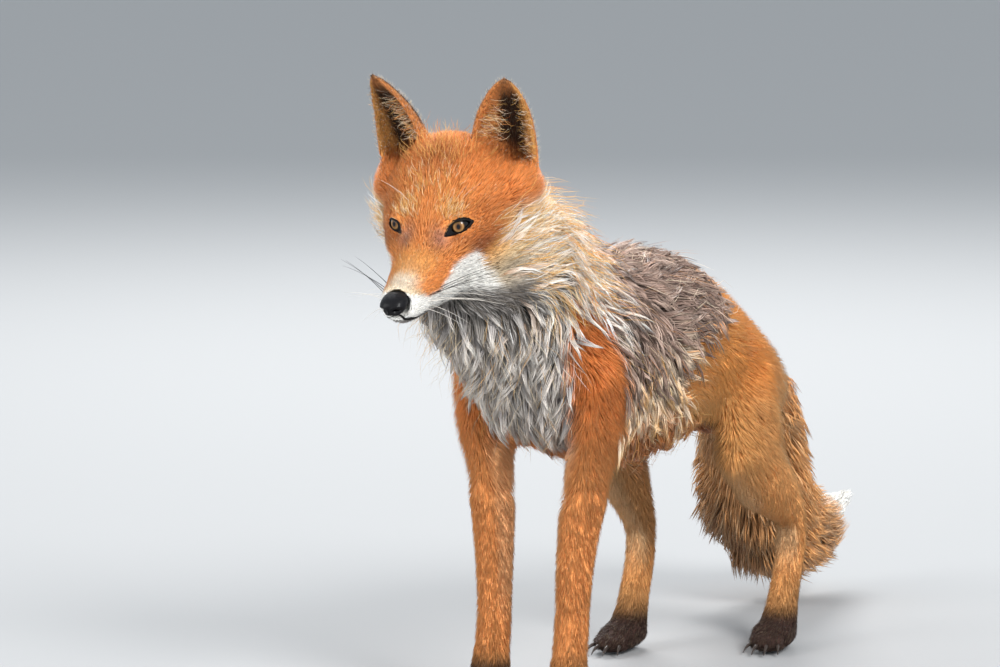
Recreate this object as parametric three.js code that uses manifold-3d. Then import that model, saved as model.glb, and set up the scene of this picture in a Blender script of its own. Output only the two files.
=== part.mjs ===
// A red fox standing still, life size, in its summer moult: head level over a lowered back, the near hind
// leg set back and the far one stepping in, the brush hanging behind. Millimetres, +Z up.
// The fox faces -Y and its left side is +X. Every place below is [left, forward, up], counted from the
// floor between the feet, and `world` turns that into X, Y and Z.
// The flesh and coat are lofted in whole lengths, joined into one animal, and parted again by thin cuts.
import * as THREE from 'three';
import { mergeVertices } from 'three/addons/utils/BufferGeometryUtils.js';
import Module from 'manifold-3d';

const wasm = await Module();
wasm.setup();

// ---------------------------------------------------------------- driving dimensions
const CUT = 0.4; // width of the thin cuts between neighbours
const REACH = 900; // a block this long passes right through the animal
const EYE_RADIUS = 9.2;
const EYE_PLACE = [22.8, -5.6, -0.3]; // left eye's centre in the head's frame
const LIDS = { place: [30, 3.5, -0.4], half: [12.4, 8.5, 6.4], slant: 22, turn: 42 }; // opening over it
const EAR = { foot: [42, -59, 15], tip: [58, -56, 101], width: 28, depth: 25, thick: 5.5, facing: 30 };
const PAW_LONG = 62;
const WRIST = 44; // heights at which the legs part
const ELBOW = 178;
const SHOULDER_TOP = 332;
const ANKLE = 32;
const HOCKS = { left: 104, right: 92 };
const KNEES = { left: [60, -80, 166], right: [-56, -48, 178] };
const NAPE = 190; // how far forward the neck, chest and loin begin
const CHEST_BACK = 104;
const LOIN_BACK = -70;
const HEAD_PLACE = [-40, 320, 393]; // the point between the eyes
const HEAD_TURN = 2.5; // degrees to the fox's left of its trunk
const HEAD_DROP = 20; // degrees that the muzzle points below level
const TOE_ANGLES = [-19, -6, 6, 19]; // splay of the four toes, in degrees

// Rows are [left, forward, up, half width, radius above, radius below], rear to front.
const TRUNK = [
  [0, -217, 209, 12, 12, 14],
  [0, -210, 209, 33, 24, 30],
  [0, -193, 211, 48, 37, 40],
  [0, -164, 217, 58, 48, 46],
  [0, -125, 229, 66, 58, 50],
  [0, -82, 243, 70, 66, 56],
  [0, -40, 258, 73, 75, 69],
  [0, 10, 268, 76, 84, 87],
  [0, 70, 272, 80, 88, 95],
  [0, 125, 277, 80, 87, 92],
  [0, 175, 282, 76, 84, 82],
  [-2, 215, 282, 68, 80, 70],
  [-4, 240, 278, 54, 60, 54],
  [-4, 256, 274, 26, 28, 26],
];

// From inside the chest up to inside the skull.
const NECK = [
  [0, 120, 268, 74, 80, 78],
  [-5, 168, 300, 76, 80, 84],
  [-16, 208, 332, 74, 78, 86],
  [-28, 238, 362, 70, 71, 80],
  [-36, 262, 388, 62, 62, 64],
  [-40, 280, 404, 40, 38, 42],
];

// Tip to root, so that "above" stays the upper side.
const TAIL = [
  [-14, -462, 76, 4, 4, 4],
  [-16, -446, 72, 17, 18, 17],
  [-19, -414, 64, 33, 33, 32],
  [-23, -376, 60, 44, 44, 42],
  [-27, -338, 65, 51, 51, 48],
  [-29, -308, 86, 55, 53, 52],
  [-29, -290, 120, 56, 53, 54],
  [-27, -278, 154, 52, 49, 50],
  [-19, -260, 188, 44, 41, 43],
  [-8, -232, 215, 34, 31, 34],
  [0, -196, 230, 25, 22, 26],
];

// A leg's rows run from the body down, so that "above" is its front and "below" its back.
const FORELEG_LEFT = [
  [40, 170, 326, 14, 20, 24],
  [50, 186, 300, 22, 34, 40],
  [55, 202, 264, 25, 38, 46],
  [51, 206, 228, 24, 34, 42],
  [44, 208, 193, 21, 27, 33],
  [38, 212, 158, 18.5, 22.5, 24],
  [35, 216, 118, 16.5, 18.5, 19.5],
  [34, 218, 84, 15.5, 16, 17],
  [34, 220, 62, 16, 16, 17],
  [34, 225, 36, 17, 15, 16],
  [34, 230, 18, 18, 14, 14],
];
const FORELEG_RIGHT = [
  [-42, 164, 326, 14, 20, 24],
  [-52, 180, 300, 22, 34, 40],
  [-57, 196, 264, 25, 38, 46],
  [-54, 200, 228, 24, 34, 42],
  [-47, 202, 193, 21, 27, 33],
  [-41, 205, 158, 18.5, 22.5, 24],
  [-38, 209, 118, 16.5, 18.5, 19.5],
  [-37, 211, 84, 15.5, 16, 17],
  [-37, 213, 62, 16, 16, 17],
  [-37, 218, 36, 17, 15, 16],
  [-37, 223, 18, 18, 14, 14],
];
const HINDLEG_LEFT = [
  [36, -124, 248, 20, 32, 36],
  [46, -104, 232, 28, 52, 52],
  [55, -76, 206, 31, 56, 62],
  [60, -64, 178, 28, 48, 58],
  [61, -92, 154, 24, 36, 42],
  [61, -128, 132, 19, 26, 30],
  [61, -156, 112, 15.5, 18, 22],
  [61, -160, 86, 14, 14.5, 16.5],
  [60, -151, 56, 14, 14, 14],
  [60, -140, 30, 16, 14, 14],
  [60, -134, 16, 17, 12, 12],
];
const HINDLEG_RIGHT = [
  [-34, -112, 250, 20, 32, 36],
  [-44, -92, 236, 28, 50, 50],
  [-52, -56, 214, 30, 54, 60],
  [-54, -38, 188, 27, 44, 54],
  [-54, -60, 160, 23, 33, 38],
  [-53, -84, 128, 18, 24, 27],
  [-52, -101, 100, 15, 17, 20],
  [-52, -99, 76, 14, 14, 15.5],
  [-52, -90, 50, 14.5, 14, 14],
  [-52, -80, 29, 16, 14, 14],
  [-52, -74, 16, 17, 12, 12],
];

// The head's own frame has its origin between the eyes: [left, forward, up] again, before the head is
// turned and dropped. Each row is [forward, up of the section's centre, then the radii at 90, 60, 30, 0,
// -30, -60 and -90 degrees], the first straight up and the last straight down, the same on both sides.
const SKULL = [
  [-100, -8, 8, 8, 8, 8, 8, 8, 8],
  [-92, -6, 36, 37, 39, 42, 42, 42, 40],
  [-78, -4, 51, 51, 52, 56, 58, 57, 55],
  [-62, -2, 57, 56, 56, 60, 63, 63, 62],
  [-46, -2, 55, 54, 54, 58, 62, 64, 63],
  [-30, -4, 47, 47, 48, 53, 57, 60, 60],
  [-14, -8, 38, 37, 40, 46, 50, 53, 54],
  [0, -15, 33, 31, 33, 37, 41, 45, 46],
  [12, -22, 27, 26, 27, 31, 35, 37, 38],
  [26, -27, 22, 22, 23.5, 26, 28, 29, 30],
  [42, -30, 18.5, 18.5, 20, 21.5, 22, 22, 23],
  [58, -32, 16, 16, 17, 18, 18.5, 18.5, 19],
  [70, -33, 14.5, 14.5, 15, 15.5, 15.5, 15, 15],
  [77, -33.5, 10, 10, 10, 10, 10, 9, 9],
];

// ---------------------------------------------------------------- places and solids
const world = ([left, forward, up]) => new THREE.Vector3(left, -forward, up);
const radians = THREE.MathUtils.degToRad;
const HEAD_MATRIX = new THREE.Matrix4()
  .makeTranslation(world(HEAD_PLACE))
  .multiply(new THREE.Matrix4().makeRotationZ(radians(HEAD_TURN)))
  .multiply(new THREE.Matrix4().makeRotationX(radians(HEAD_DROP)));

// A closed three.js geometry as a solid that can be joined and cut.
function solid(geometry) {
  const bare = new THREE.BufferGeometry().setAttribute('position', geometry.getAttribute('position'));
  bare.setIndex(geometry.index);
  const merged = mergeVertices(bare, 1e-3);
  const vertProperties = merged.getAttribute('position').array;
  return new wasm.Manifold(new wasm.Mesh({
    numProp: 3, vertProperties, triVerts: new Uint32Array(merged.index.array),
  }));
}

const join = (solids) => solids.reduce((all, one) => all.add(one));

// Row number t of a table, with the rows between blended by a Catmull-Rom spline.
function rowAt(table, t) {
  const last = table.length - 1;
  const i = Math.min(Math.floor(t), last - 1);
  const f = t - i;
  const row = (k) => table[THREE.MathUtils.clamp(k, 0, last)];
  const [a, b, c, d] = [row(i - 1), row(i), row(i + 1), row(i + 2)];
  return b.map((v, k) => v + 0.5 * f * (c[k] - a[k]
    + f * (2 * a[k] - 5 * v + 4 * c[k] - d[k] + f * (3 * (v - c[k]) + d[k] - a[k]))));
}

// Rings of points, each the same length, closed into one skin with a fan at each end.
function skinOf(rings) {
  const sides = rings[0].length;
  const middle = (ring) => ring.reduce((sum, p) => sum.add(p), new THREE.Vector3()).divideScalar(sides);
  const points = [...rings.flat(), middle(rings[0]), middle(rings.at(-1))];
  const [first, final] = [points.length - 2, points.length - 1];
  const faces = [];
  for (let i = 0; i < rings.length - 1; i++) {
    for (let j = 0; j < sides; j++) {
      const [a, b] = [i * sides + j, i * sides + (j + 1) % sides];
      faces.push(a, b, b + sides, a, b + sides, a + sides);
    }
  }
  const top = (rings.length - 1) * sides;
  for (let j = 0; j < sides; j++) {
    const next = (j + 1) % sides;
    faces.push(first, next, j, final, top + j, top + next);
  }
  return new THREE.BufferGeometry().setFromPoints(points).setIndex(faces);
}

// A rounded length of the animal through a table's rows, each ring square to the line of their centres,
// grown all round by `more`.
function length(table, sides, ringsPerRow, more = 0) {
  const steps = Math.round((table.length - 1) * ringsPerRow);
  const rows = Array.from({ length: steps + 1 }, (_, i) => rowAt(table, i * (table.length - 1) / steps));
  const centres = rows.map(world);
  const rings = rows.map(([, , , width, above, below], i) => {
    const along = centres[Math.min(i + 1, steps)].clone().sub(centres[Math.max(i - 1, 0)]).normalize();
    const side = new THREE.Vector3(1, 0, 0).addScaledVector(along, -along.x).normalize();
    const up = along.clone().cross(side);
    return Array.from({ length: sides }, (_, j) => {
      const angle = 2 * Math.PI * (j + 0.5) / sides;
      const rise = Math.sin(angle) * ((Math.sin(angle) > 0 ? above : below) + more);
      const spread = Math.cos(angle) * (width + more);
      return centres[i].clone().addScaledVector(side, spread).addScaledVector(up, rise);
    });
  });
  return solid(skinOf(rings));
}

// The point of a skull section at an angle from its side, by a smooth curve through its radii.
function skullRing(row, sides) {
  const [forward, up, ...radii] = row;
  const spokes = [...radii, ...radii.slice(1, -1).reverse()]; // from straight up, once round by the left
  return Array.from({ length: sides }, (_, j) => {
    const turn = (j + 0.5) / sides * spokes.length;
    const i = Math.floor(turn);
    const ring = [-1, 0, 1, 2].map((k) => [spokes[(i + k + spokes.length) % spokes.length]]);
    const [radius] = rowAt(ring, 1 + turn - i);
    const angle = Math.PI / 2 - 2 * Math.PI * turn / spokes.length;
    return world([-radius * Math.cos(angle), forward, up + radius * Math.sin(angle)]);
  });
}

// The skull and muzzle in the head's frame, grown all round by `more`.
function skull(sides, ringsPerRow, more = 0) {
  const steps = Math.round((SKULL.length - 1) * ringsPerRow);
  const rings = Array.from({ length: steps + 1 }, (_, i) => {
    const [forward, up, ...radii] = rowAt(SKULL, i * (SKULL.length - 1) / steps);
    return skullRing([forward, up, ...radii.map((r) => r + more)], sides);
  });
  return solid(skinOf(rings));
}

// All that lies ahead of a plane through a place. The plane faces forward, tipped up by `tilt` degrees and
// then turned to the left by `yaw` degrees, and is set back by `more`.
function ahead(place, tilt, yaw = 0, more = 0) {
  const box = new THREE.BoxGeometry(2 * REACH, REACH, 2 * REACH).translate(0, more - REACH / 2, 0)
    .rotateX(radians(-tilt)).rotateZ(radians(yaw)).translate(...world(place));
  return solid(box);
}

// ---------------------------------------------------------------- the pieces that are joined
// A paw on the floor: a palm, four splayed toes and their claws, facing forward from its heel.
function paw([left, forward], long, yaw) {
  const palm = [
    [0, -0.32 * long, 13, 8, 8, 10],
    [0, -0.20 * long, 15, 16, 13, 14],
    [0, 0.05 * long, 15, 20, 14, 16],
    [0, 0.30 * long, 13, 20, 11, 15],
    [0, 0.44 * long, 12, 12, 6, 9],
  ];
  const toe = [
    [0, 0.10 * long, 12, 6, 7, 10],
    [0, 0.38 * long, 12, 8.5, 9.5, 13.5],
    [0, 0.58 * long, 10, 8, 8, 11.5],
    [0, 0.68 * long, 8, 4, 3.5, 5],
  ];
  const claw = new THREE.ConeGeometry(1.8, 13, 3).rotateX(radians(200)).translate(0, -0.72 * long, 7);
  const clawed = length(toe, 6, 1).add(solid(claw));
  const toes = TOE_ANGLES.map((splay) => {
    const back = Math.abs(splay) > 10 ? 0.08 * long : 0; // the outer toes are set back
    return clawed.translate([0, back, 0]).rotate([0, 0, splay]);
  });
  return join([length(palm, 8, 1), ...toes]).rotate([0, 0, yaw]).translate([left, -forward, 0]);
}

// The left ear in the head's frame: crescents stacked from a round foot to a blunt tip, a cup that opens
// forwards and outwards.
function ear() {
  const [ROWS, ACROSS] = [8, 7];
  const foot = world(EAR.foot);
  const rise = world(EAR.tip).sub(foot);
  const height = rise.length();
  rise.normalize();
  const facing = world([Math.sin(radians(EAR.facing)), Math.cos(radians(EAR.facing)), 0]);
  const open = facing.addScaledVector(rise, -facing.dot(rise)).normalize();
  const across = rise.clone().cross(open).normalize();
  const rings = Array.from({ length: ROWS }, (_, i) => {
    const h = i / (ROWS - 1);
    const width = EAR.width * Math.pow(Math.sin(Math.PI * (0.36 + 0.64 * h)), 0.62) * (1 - 0.08 * h) + 1.6;
    const depth = EAR.depth * Math.pow(1 - h, 0.9) + 1.5;
    const thick = Math.min(EAR.thick * (1 - 0.55 * h), depth);
    const centre = foot.clone().addScaledVector(rise, height * h)
      .addScaledVector(open, -6 * Math.sin(Math.PI * h));
    const bow = (inset) => Array.from({ length: ACROSS + 1 }, (_, j) => {
      const turn = Math.PI * j / ACROSS;
      return centre.clone().addScaledVector(across, Math.max(width - inset, 0.4) * Math.cos(turn))
        .addScaledVector(open, -Math.max(depth - inset, 0.3) * Math.sin(turn));
    });
    return [...bow(0), ...bow(thick).slice(1, -1).reverse()];
  });
  return solid(skinOf(rings));
}

const inHead = (one) => one.transform(HEAD_MATRIX.toArray());
const mirrored = (one) => one.mirror([1, 0, 0]);

// The left eye's ball, and the almond of its lids, which slants down to the inner corner and faces outwards.
const ball = (more) => solid(new THREE.SphereGeometry(EYE_RADIUS + more, 12, 7).rotateX(Math.PI / 2)
  .translate(...world(EYE_PLACE)));
const lids = solid(new THREE.SphereGeometry(1, 10, 6).scale(...LIDS.half).rotateY(radians(-LIDS.slant))
  .rotateZ(radians(LIDS.turn)).translate(...world(LIDS.place)));

// ---------------------------------------------------------------- the whole animal
const floor = solid(new THREE.BoxGeometry(2 * REACH, 2 * REACH, REACH).translate(0, 0, -REACH / 2));
const whole = join([
  length(TRUNK, 20, 1), length(NECK, 16, 1.2), length(TAIL, 14, 1),
  length(FORELEG_LEFT, 12, 1), length(FORELEG_RIGHT, 12, 1),
  length(HINDLEG_LEFT, 12, 1), length(HINDLEG_RIGHT, 12, 1),
  paw([34, 228], PAW_LONG, 4), paw([-37, 221], PAW_LONG, -4),
  paw([60, -132], PAW_LONG, 5), paw([-52, -72], PAW_LONG, -4),
  inHead(skull(20, 1.5)),
]).subtract(floor);

// ---------------------------------------------------------------- thin cuts
// Each cut takes what lies ahead of all its planes, and leaves the rest of the animal to the cuts after it.
const parts = new Map();
let rest = whole;
function take(name, ...planes) {
  const region = (more) => planes.map((plane) => plane(more)).reduce((all, one) => all.intersect(one));
  parts.set(name, rest.intersect(region(0)));
  rest = rest.subtract(region(CUT));
}
const plane = (place, tilt, yaw = 0) => (more) => ahead(place, tilt, yaw, more);
const headPlane = (place, tilt, yaw = 0) => (more) => inHead(ahead(place, tilt, yaw, more));
const below = (up) => plane([0, 0, up], -90);
const above = (up) => plane([0, 0, up], 90);
const before = (forward) => plane([0, forward, 0], 0);
const behind = (forward) => plane([0, forward, 0], 0, 180);
const beside = (left) => plane([left, 0, 0], 0, left > 0 ? 90 : -90);

// The head, from its nose backwards.
const NOSE = [
  [0, 60, -28, 7, 6, 6],
  [0, 70, -29, 11.5, 10, 9],
  [0, 78, -30, 12, 9.5, 10],
  [0, 84, -30.5, 9.5, 7, 8],
  [0, 86.5, -31, 4, 3, 3.5],
];
rest = rest.subtract(inHead(length(NOSE, 10, 1.2, CUT)));
for (const side of [(one) => one, mirrored]) rest = rest.subtract(inHead(side(ball(CUT).add(lids))));
const jawTop = headPlane([0, 70, -44.5], -88);
take('jaw', jawTop, headPlane([0, 14, 0], 0), headPlane([0, 0, -80], 90));
take('muzzle', headPlane([0, 20, -30], 0), headPlane([0, -45, -63], 90));
take('head', headPlane([0, -74, -10], 26), headPlane([0, -45, -63], 90));
take('neck', plane([0, NAPE, 318], 45));
parts.set('nose', inHead(length(NOSE, 10, 1.2)));
const grown = inHead(skull(20, 1.5, CUT)).add(length(NECK, 16, 1.2, CUT));
for (const [name, side] of [['left', (one) => one], ['right', mirrored]]) {
  parts.set(`ear_${name}`, inHead(side(ear())).subtract(grown));
  parts.set(`eye_${name}`, inHead(side(ball(0))));
}

// The tail, from its root to its tip.
take('tail_tip', behind(-382), below(150));
take('tail_middle', behind(-226), below(140));
take('tail_root', plane([0, -216, 222], -25, 180), above(130));

// The legs, each from its paw to its top.
for (const [name, side] of [['left', 1], ['right', -1]]) {
  take(`forepaw_${name}`, below(WRIST), before(130), beside(side));
  take(`forearm_${name}`, below(ELBOW), before(130), beside(side));
  take(`shoulder_${name}`, below(SHOULDER_TOP), before(146), beside(side * 34));
}
for (const [name, side] of [['left', 1], ['right', -1]]) {
  take(`hindpaw_${name}`, below(ANKLE), behind(60), beside(20 * side));
  take(`hock_${name}`, below(HOCKS[name]), behind(60), beside(20 * side));
  take(`shank_${name}`, plane(KNEES[name], -40, 180), below(165), beside(34 * side));
  take(`thigh_${name}`, below(266), behind(15), beside(32 * side));
}

// The trunk, in three lengths.
take('chest', before(CHEST_BACK));
take('loin', before(LOIN_BACK));
parts.set('rump', rest);

// ---------------------------------------------------------------- the scene
const ORANGE = '#c86c30';
const CREAM = '#d9cbb2';
const GREY = '#94857a';
const BRUSH = '#b99c7b';
const DARK = '#56412f';
const COLOURS = {
  nose: '#141213', eye: '#a8763a', ear: DARK, jaw: CREAM, muzzle: ORANGE, head: ORANGE, neck: CREAM,
  chest: GREY, loin: GREY, rump: GREY, shoulder: ORANGE, forearm: ORANGE, forepaw: DARK,
  thigh: ORANGE, shank: ORANGE, hock: ORANGE, hindpaw: DARK, tail: BRUSH,
};
const ROUGHNESS = { nose: 0.35, eye: 0.08 };
const FUR_ROUGHNESS = 0.85;
const fox = new THREE.Group();
for (const [name, one] of parts) {
  const kind = name.split('_')[0];
  const { vertProperties, triVerts } = one.getMesh();
  const geometry = new THREE.BufferGeometry()
    .setAttribute('position', new THREE.BufferAttribute(vertProperties, 3))
    .setIndex(new THREE.BufferAttribute(triVerts, 1));
  geometry.computeVertexNormals();
  const finish = new THREE.MeshStandardMaterial({
    color: COLOURS[kind], roughness: ROUGHNESS[kind] ?? FUR_ROUGHNESS, metalness: 0,
  });
  const mesh = new THREE.Mesh(geometry, finish);
  mesh.name = name;
  fox.add(mesh);
}

// The origin is under the middle of the animal, on the floor.
const middle = new THREE.Box3().setFromObject(fox).getCenter(new THREE.Vector3());
fox.position.set(-middle.x, -middle.y, 0);
export default fox;
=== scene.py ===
# A red fox in its wet summer moult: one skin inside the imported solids, the coat on it in tufts and locks,
# and the eyes, lids, nose, lips, claws and whiskers. Metres, in the frame of the solids.
import math
import bpy
import numpy as np
from mathutils import Matrix, Vector
from mathutils.bvhtree import BVHTree
from mathutils.kdtree import KDTree


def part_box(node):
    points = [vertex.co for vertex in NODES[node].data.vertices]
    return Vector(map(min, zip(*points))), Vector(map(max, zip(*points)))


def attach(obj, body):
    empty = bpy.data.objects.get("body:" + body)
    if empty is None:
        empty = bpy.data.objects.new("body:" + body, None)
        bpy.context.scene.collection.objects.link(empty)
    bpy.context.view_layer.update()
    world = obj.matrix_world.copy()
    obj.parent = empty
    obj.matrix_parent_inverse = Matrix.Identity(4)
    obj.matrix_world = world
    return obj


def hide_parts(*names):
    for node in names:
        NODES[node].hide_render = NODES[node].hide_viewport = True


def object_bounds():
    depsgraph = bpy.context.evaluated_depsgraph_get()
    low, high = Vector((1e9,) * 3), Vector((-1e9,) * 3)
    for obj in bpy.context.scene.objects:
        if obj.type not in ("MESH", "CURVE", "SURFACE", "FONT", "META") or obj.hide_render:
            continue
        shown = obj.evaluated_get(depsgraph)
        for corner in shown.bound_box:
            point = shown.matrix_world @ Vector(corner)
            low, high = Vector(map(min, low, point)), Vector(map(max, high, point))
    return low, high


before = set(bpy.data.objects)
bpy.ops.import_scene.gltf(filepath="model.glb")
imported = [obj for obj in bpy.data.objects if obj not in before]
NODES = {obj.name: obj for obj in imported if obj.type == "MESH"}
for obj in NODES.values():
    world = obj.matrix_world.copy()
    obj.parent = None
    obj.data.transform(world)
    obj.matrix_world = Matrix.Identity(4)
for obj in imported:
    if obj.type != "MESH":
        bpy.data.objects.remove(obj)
CAD_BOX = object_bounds()
MM = 0.001
rng = np.random.default_rng(7)

VOXEL = 0.0018  # edge of the skin's faces
COAT_TRIS = 1_150_000  # triangles of all the coat's tufts
PIECE_TRIS = 190_000  # at most in one piece of it
ABOVE_FLOOR = 0.0003  # where the lowest hairs end
PAST_SIDES = 12 * MM  # how far past the solids' box hairs may reach to the sides
FULL_TURN = 6.283
WELD = 0.01 * MM  # corners of the solids this close are one
SWELL = 0.6 * MM  # how much each solid grows, so that neighbours meet
MOST = 8  # neighbours of a vertex
LOCK_TRIES = 9000  # places tried for each kind of wet lock


# ------------------------------------------------------------------ arithmetic on rows of vectors
def unit(v):
    return v / np.maximum(np.linalg.norm(v, axis=-1, keepdims=True), 1e-12)


def dot(a, b):
    return (a * b).sum(-1)


def smooth(low, high, x):
    t = np.clip((x - low) / (high - low), 0, 1)
    return t * t * (3 - 2 * t)


def bump(x, width):
    return np.exp(-(x / width) ** 2)


def mix(a, b, t):
    t = np.asarray(t)[..., None]
    return a * (1 - t) + b * t


def colour(text):
    """A colour written as #rrggbb, as linear light."""
    c = np.array([int(text[i:i + 2], 16) / 255 for i in (1, 3, 5)])
    return np.where(c < 0.04045, c / 12.92, ((c + 0.055) / 1.055) ** 2.4)


def ripple(p, size, seed):
    """A smooth random field between about -1 and 1, whose features are `size` metres across."""
    r = np.random.default_rng(seed)
    waves = unit(r.normal(size=(9, 3))) * r.uniform(0.6, 1.6, (9, 1)) * 2.2 / size
    return np.sin(p @ waves.T + r.uniform(0, FULL_TURN, 9)).sum(1) / 3.2


def through(points, count, closed=False):
    """Points spaced along a Catmull-Rom curve through a few."""
    p = np.asarray(points, float)
    last = len(p) if closed else len(p) - 1
    t = np.linspace(0, last, count, endpoint=not closed)
    i = np.minimum(t.astype(int), last - 1)
    f = (t - i)[:, None]
    pick = (lambda k: p[(i + k) % len(p)]) if closed else (lambda k: p[np.clip(i + k, 0, len(p) - 1)])
    a, b, c, d = pick(-1), pick(0), pick(1), pick(2)
    return b + 0.5 * f * (c - a + f * (2 * a - 5 * b + 4 * c - d + f * (3 * (b - c) + d - a)))


# ------------------------------------------------------------------ frames of the head and the body
def centre(node):
    low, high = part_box(node)
    return np.array((low + high) / 2)


HEAD_DROP = 20  # degrees that the muzzle points below level
EYE_IN_HEAD = np.array([22.8, 5.6, -0.3]) * MM  # the solids' left eye, in the head's frame
eye_gap = centre("eye_left") - centre("eye_right")
HEAD_AXES = np.array(Matrix.Rotation(math.atan2(eye_gap[1], eye_gap[0]), 3, "Z")
                     @ Matrix.Rotation(math.radians(HEAD_DROP), 3, "X"))
HEAD = (centre("eye_left") + centre("eye_right")) / 2 - HEAD_AXES @ (EYE_IN_HEAD * [0, 1, 1])
BODY = HEAD - np.array([-40, -320, 393]) * MM  # the floor between the feet


def head_place(left, forward, up):
    """A place in the head's frame in millimetres, in metres."""
    return HEAD + HEAD_AXES @ (np.array([left, -forward, up]) * MM)


def head_way(left, forward, up):
    return HEAD_AXES @ unit(np.array([left, -forward, up], float))


def on_side(side, place):
    """A place or way of the left side (1), or its like on the right (-1)."""
    l, f, u = place
    return side * l, f, u


def in_head(p):
    """Left, forward and up in the head's frame, in millimetres."""
    h = (p - HEAD) @ HEAD_AXES / MM
    return h[..., 0], -h[..., 1], h[..., 2]


def in_body(p):
    """Left, forward and up from the floor between the feet, in millimetres."""
    b = (p - BODY) / MM
    return b[..., 0], -b[..., 1], b[..., 2]


# ------------------------------------------------------------------ camera, floor and light
LENS, SENSOR = 180, 36  # millimetres


def turned(thing, way):
    """Points a camera or a lamp along a way."""
    thing.rotation_mode = "QUATERNION"
    thing.rotation_quaternion = Vector(way).to_track_quat("-Z", "Y")
    bpy.context.collection.objects.link(thing)


def look_from(azimuth, elevation, distance, target, across, rise):
    """A camera at a place round the target, turned until the target is off its centre by `across`, `rise`."""
    a, e = math.radians(azimuth), math.radians(elevation)
    back = np.array([math.sin(a) * math.cos(e), -math.cos(a) * math.cos(e), math.sin(e)])
    right = np.array([math.cos(a), math.sin(a), 0])
    data = bpy.data.cameras.new("camera")
    data.lens = LENS
    data.sensor_width = SENSOR
    data.clip_end = 50
    camera = bpy.data.objects.new("camera", data)
    camera.location = Vector(target + back * distance)
    turned(camera, -back * distance - right * across - np.cross(back, right) * rise)
    bpy.context.scene.camera = camera


look_from(25, 6, 4.0, HEAD + np.array([40, 220, -33]) * MM, 0.0776, 0.070)


def fill(tree, target, values):
    """Sets a node's inputs, by name or number, each to a value or to another node's output."""
    for name, value in values.items():
        name = name.replace("_", " ")
        socket = target.inputs[int(name) if name.isdigit() else name]
        if isinstance(value, bpy.types.NodeSocket):
            tree.links.new(value, socket)
        else:
            socket.default_value = value


def feed(made, **sockets):
    """Sets a material's shader."""
    fill(made.node_tree, made.node_tree.nodes["Principled BSDF"], sockets)


def material(name, roughness, specular, **sockets):
    made = bpy.data.materials.new(name)
    made.use_nodes = True
    feed(made, Roughness=roughness, Specular_IOR_Level=specular, **sockets)
    return made


def node(tree, kind, **values):
    """The outputs of a new node, whose inputs are the values that start with `in_`, after its properties."""
    made = tree.nodes.new(kind if kind.startswith("Node") else "ShaderNode" + kind)
    for key, value in values.items():
        if not key.startswith("in_"):
            setattr(made, key, value)
    fill(tree, made, {key[3:]: value for key, value in values.items() if key.startswith("in_")})
    return made.outputs


def make_stage():
    mesh = bpy.data.meshes.new("floor")
    mesh.from_pydata([(-14, -14, 0), (14, -14, 0), (14, 14, 0), (-14, 14, 0)], [], [(0, 1, 2, 3)])
    floor = bpy.data.objects.new("floor", mesh)
    bpy.context.collection.objects.link(floor)
    mesh.materials.append(material("floor", 0.9, 0.2, Base_Color=(0.34, 0.34, 0.34, 1)))
    world = bpy.data.worlds.new("studio")
    world.use_nodes = True
    sky = world.node_tree.nodes["Background"]
    sky.inputs["Color"].default_value = (0.86, 0.93, 1.0, 1)
    sky.inputs["Strength"].default_value = 1.0
    bpy.context.scene.world = world
    target = Vector(BODY + np.array([0, 0, 0.3]))
    lamps = (("key", (2.8, -1.9, 2.5), 1.5, 175), ("fill", (-2.2, -2.6, 1.8), 2.2, 62),
             ("rim", (-1.2, 2.4, 2.6), 1.6, 120))
    for name, place, size, power in lamps:
        data = bpy.data.lights.new(name, "AREA")
        data.shape = "DISK"
        data.size = size
        data.energy = power
        lamp = bpy.data.objects.new(name, data)
        lamp.location = place
        turned(lamp, target - lamp.location)


make_stage()
bpy.context.scene.view_settings.view_transform = "Standard"


# ------------------------------------------------------------------ meshes as arrays
def pulled(rows, key, width, kind=np.float32):
    """One property of all of a mesh's vertices, loops or the like, as an array."""
    out = np.empty(width * len(rows), kind)
    rows.foreach_get(key, out)
    return out.reshape(-1, width)


def read(mesh):
    mesh.calc_loop_triangles()
    return pulled(mesh.vertices, "co", 3).astype(float), pulled(mesh.loop_triangles, "vertices", 3, np.int32)


def halves(quads):
    """The two triangles of each quad."""
    return np.concatenate([quads[:, [0, 1, 2]], quads[:, [0, 2, 3]]])


def corners(points, tris):
    return (points[tris[:, k]] for k in range(3))


def normals(points, tris):
    a, b, c = corners(points, tris)
    face = np.cross(b - a, c - a)
    out = np.zeros_like(points)
    for k in range(3):
        for axis in range(3):
            out[:, axis] += np.bincount(tris[:, k], face[:, axis], len(points))
    return unit(out)


def joined(parts):
    """Several (points, faces) as one."""
    count = np.cumsum([0] + [len(p) for p, _ in parts])
    return np.concatenate([p for p, _ in parts]), np.concatenate([f + n for (_, f), n in zip(parts, count)])


def write(name, points, faces):
    """A smooth mesh from arrays of points and of faces that all have the same number of corners."""
    mesh = bpy.data.meshes.new(name)
    mesh.vertices.add(len(points))
    mesh.vertices.foreach_set("co", np.asarray(points, np.float32).ravel())
    mesh.loops.add(faces.size)
    mesh.loops.foreach_set("vertex_index", np.asarray(faces, np.int32).ravel())
    mesh.polygons.add(len(faces))
    mesh.polygons.foreach_set("loop_start", np.arange(0, faces.size, faces.shape[1], dtype=np.int32))
    mesh.update(calc_edges=True)
    mesh.polygons.foreach_set("use_smooth", np.full(len(faces), True))
    return mesh


def mark(mesh, name, values):
    """Stores the pigment, or else a vector, of each vertex for the materials to read."""
    if name == "pigment":
        layer, key = mesh.attributes.new(name, "FLOAT_COLOR", "POINT"), "color"
        values = np.c_[values, np.ones(len(values))]
    else:
        layer, key = mesh.attributes.new(name, "FLOAT_VECTOR", "POINT"), "vector"
    layer.data.foreach_set(key, np.asarray(values, np.float32).ravel())


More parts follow.
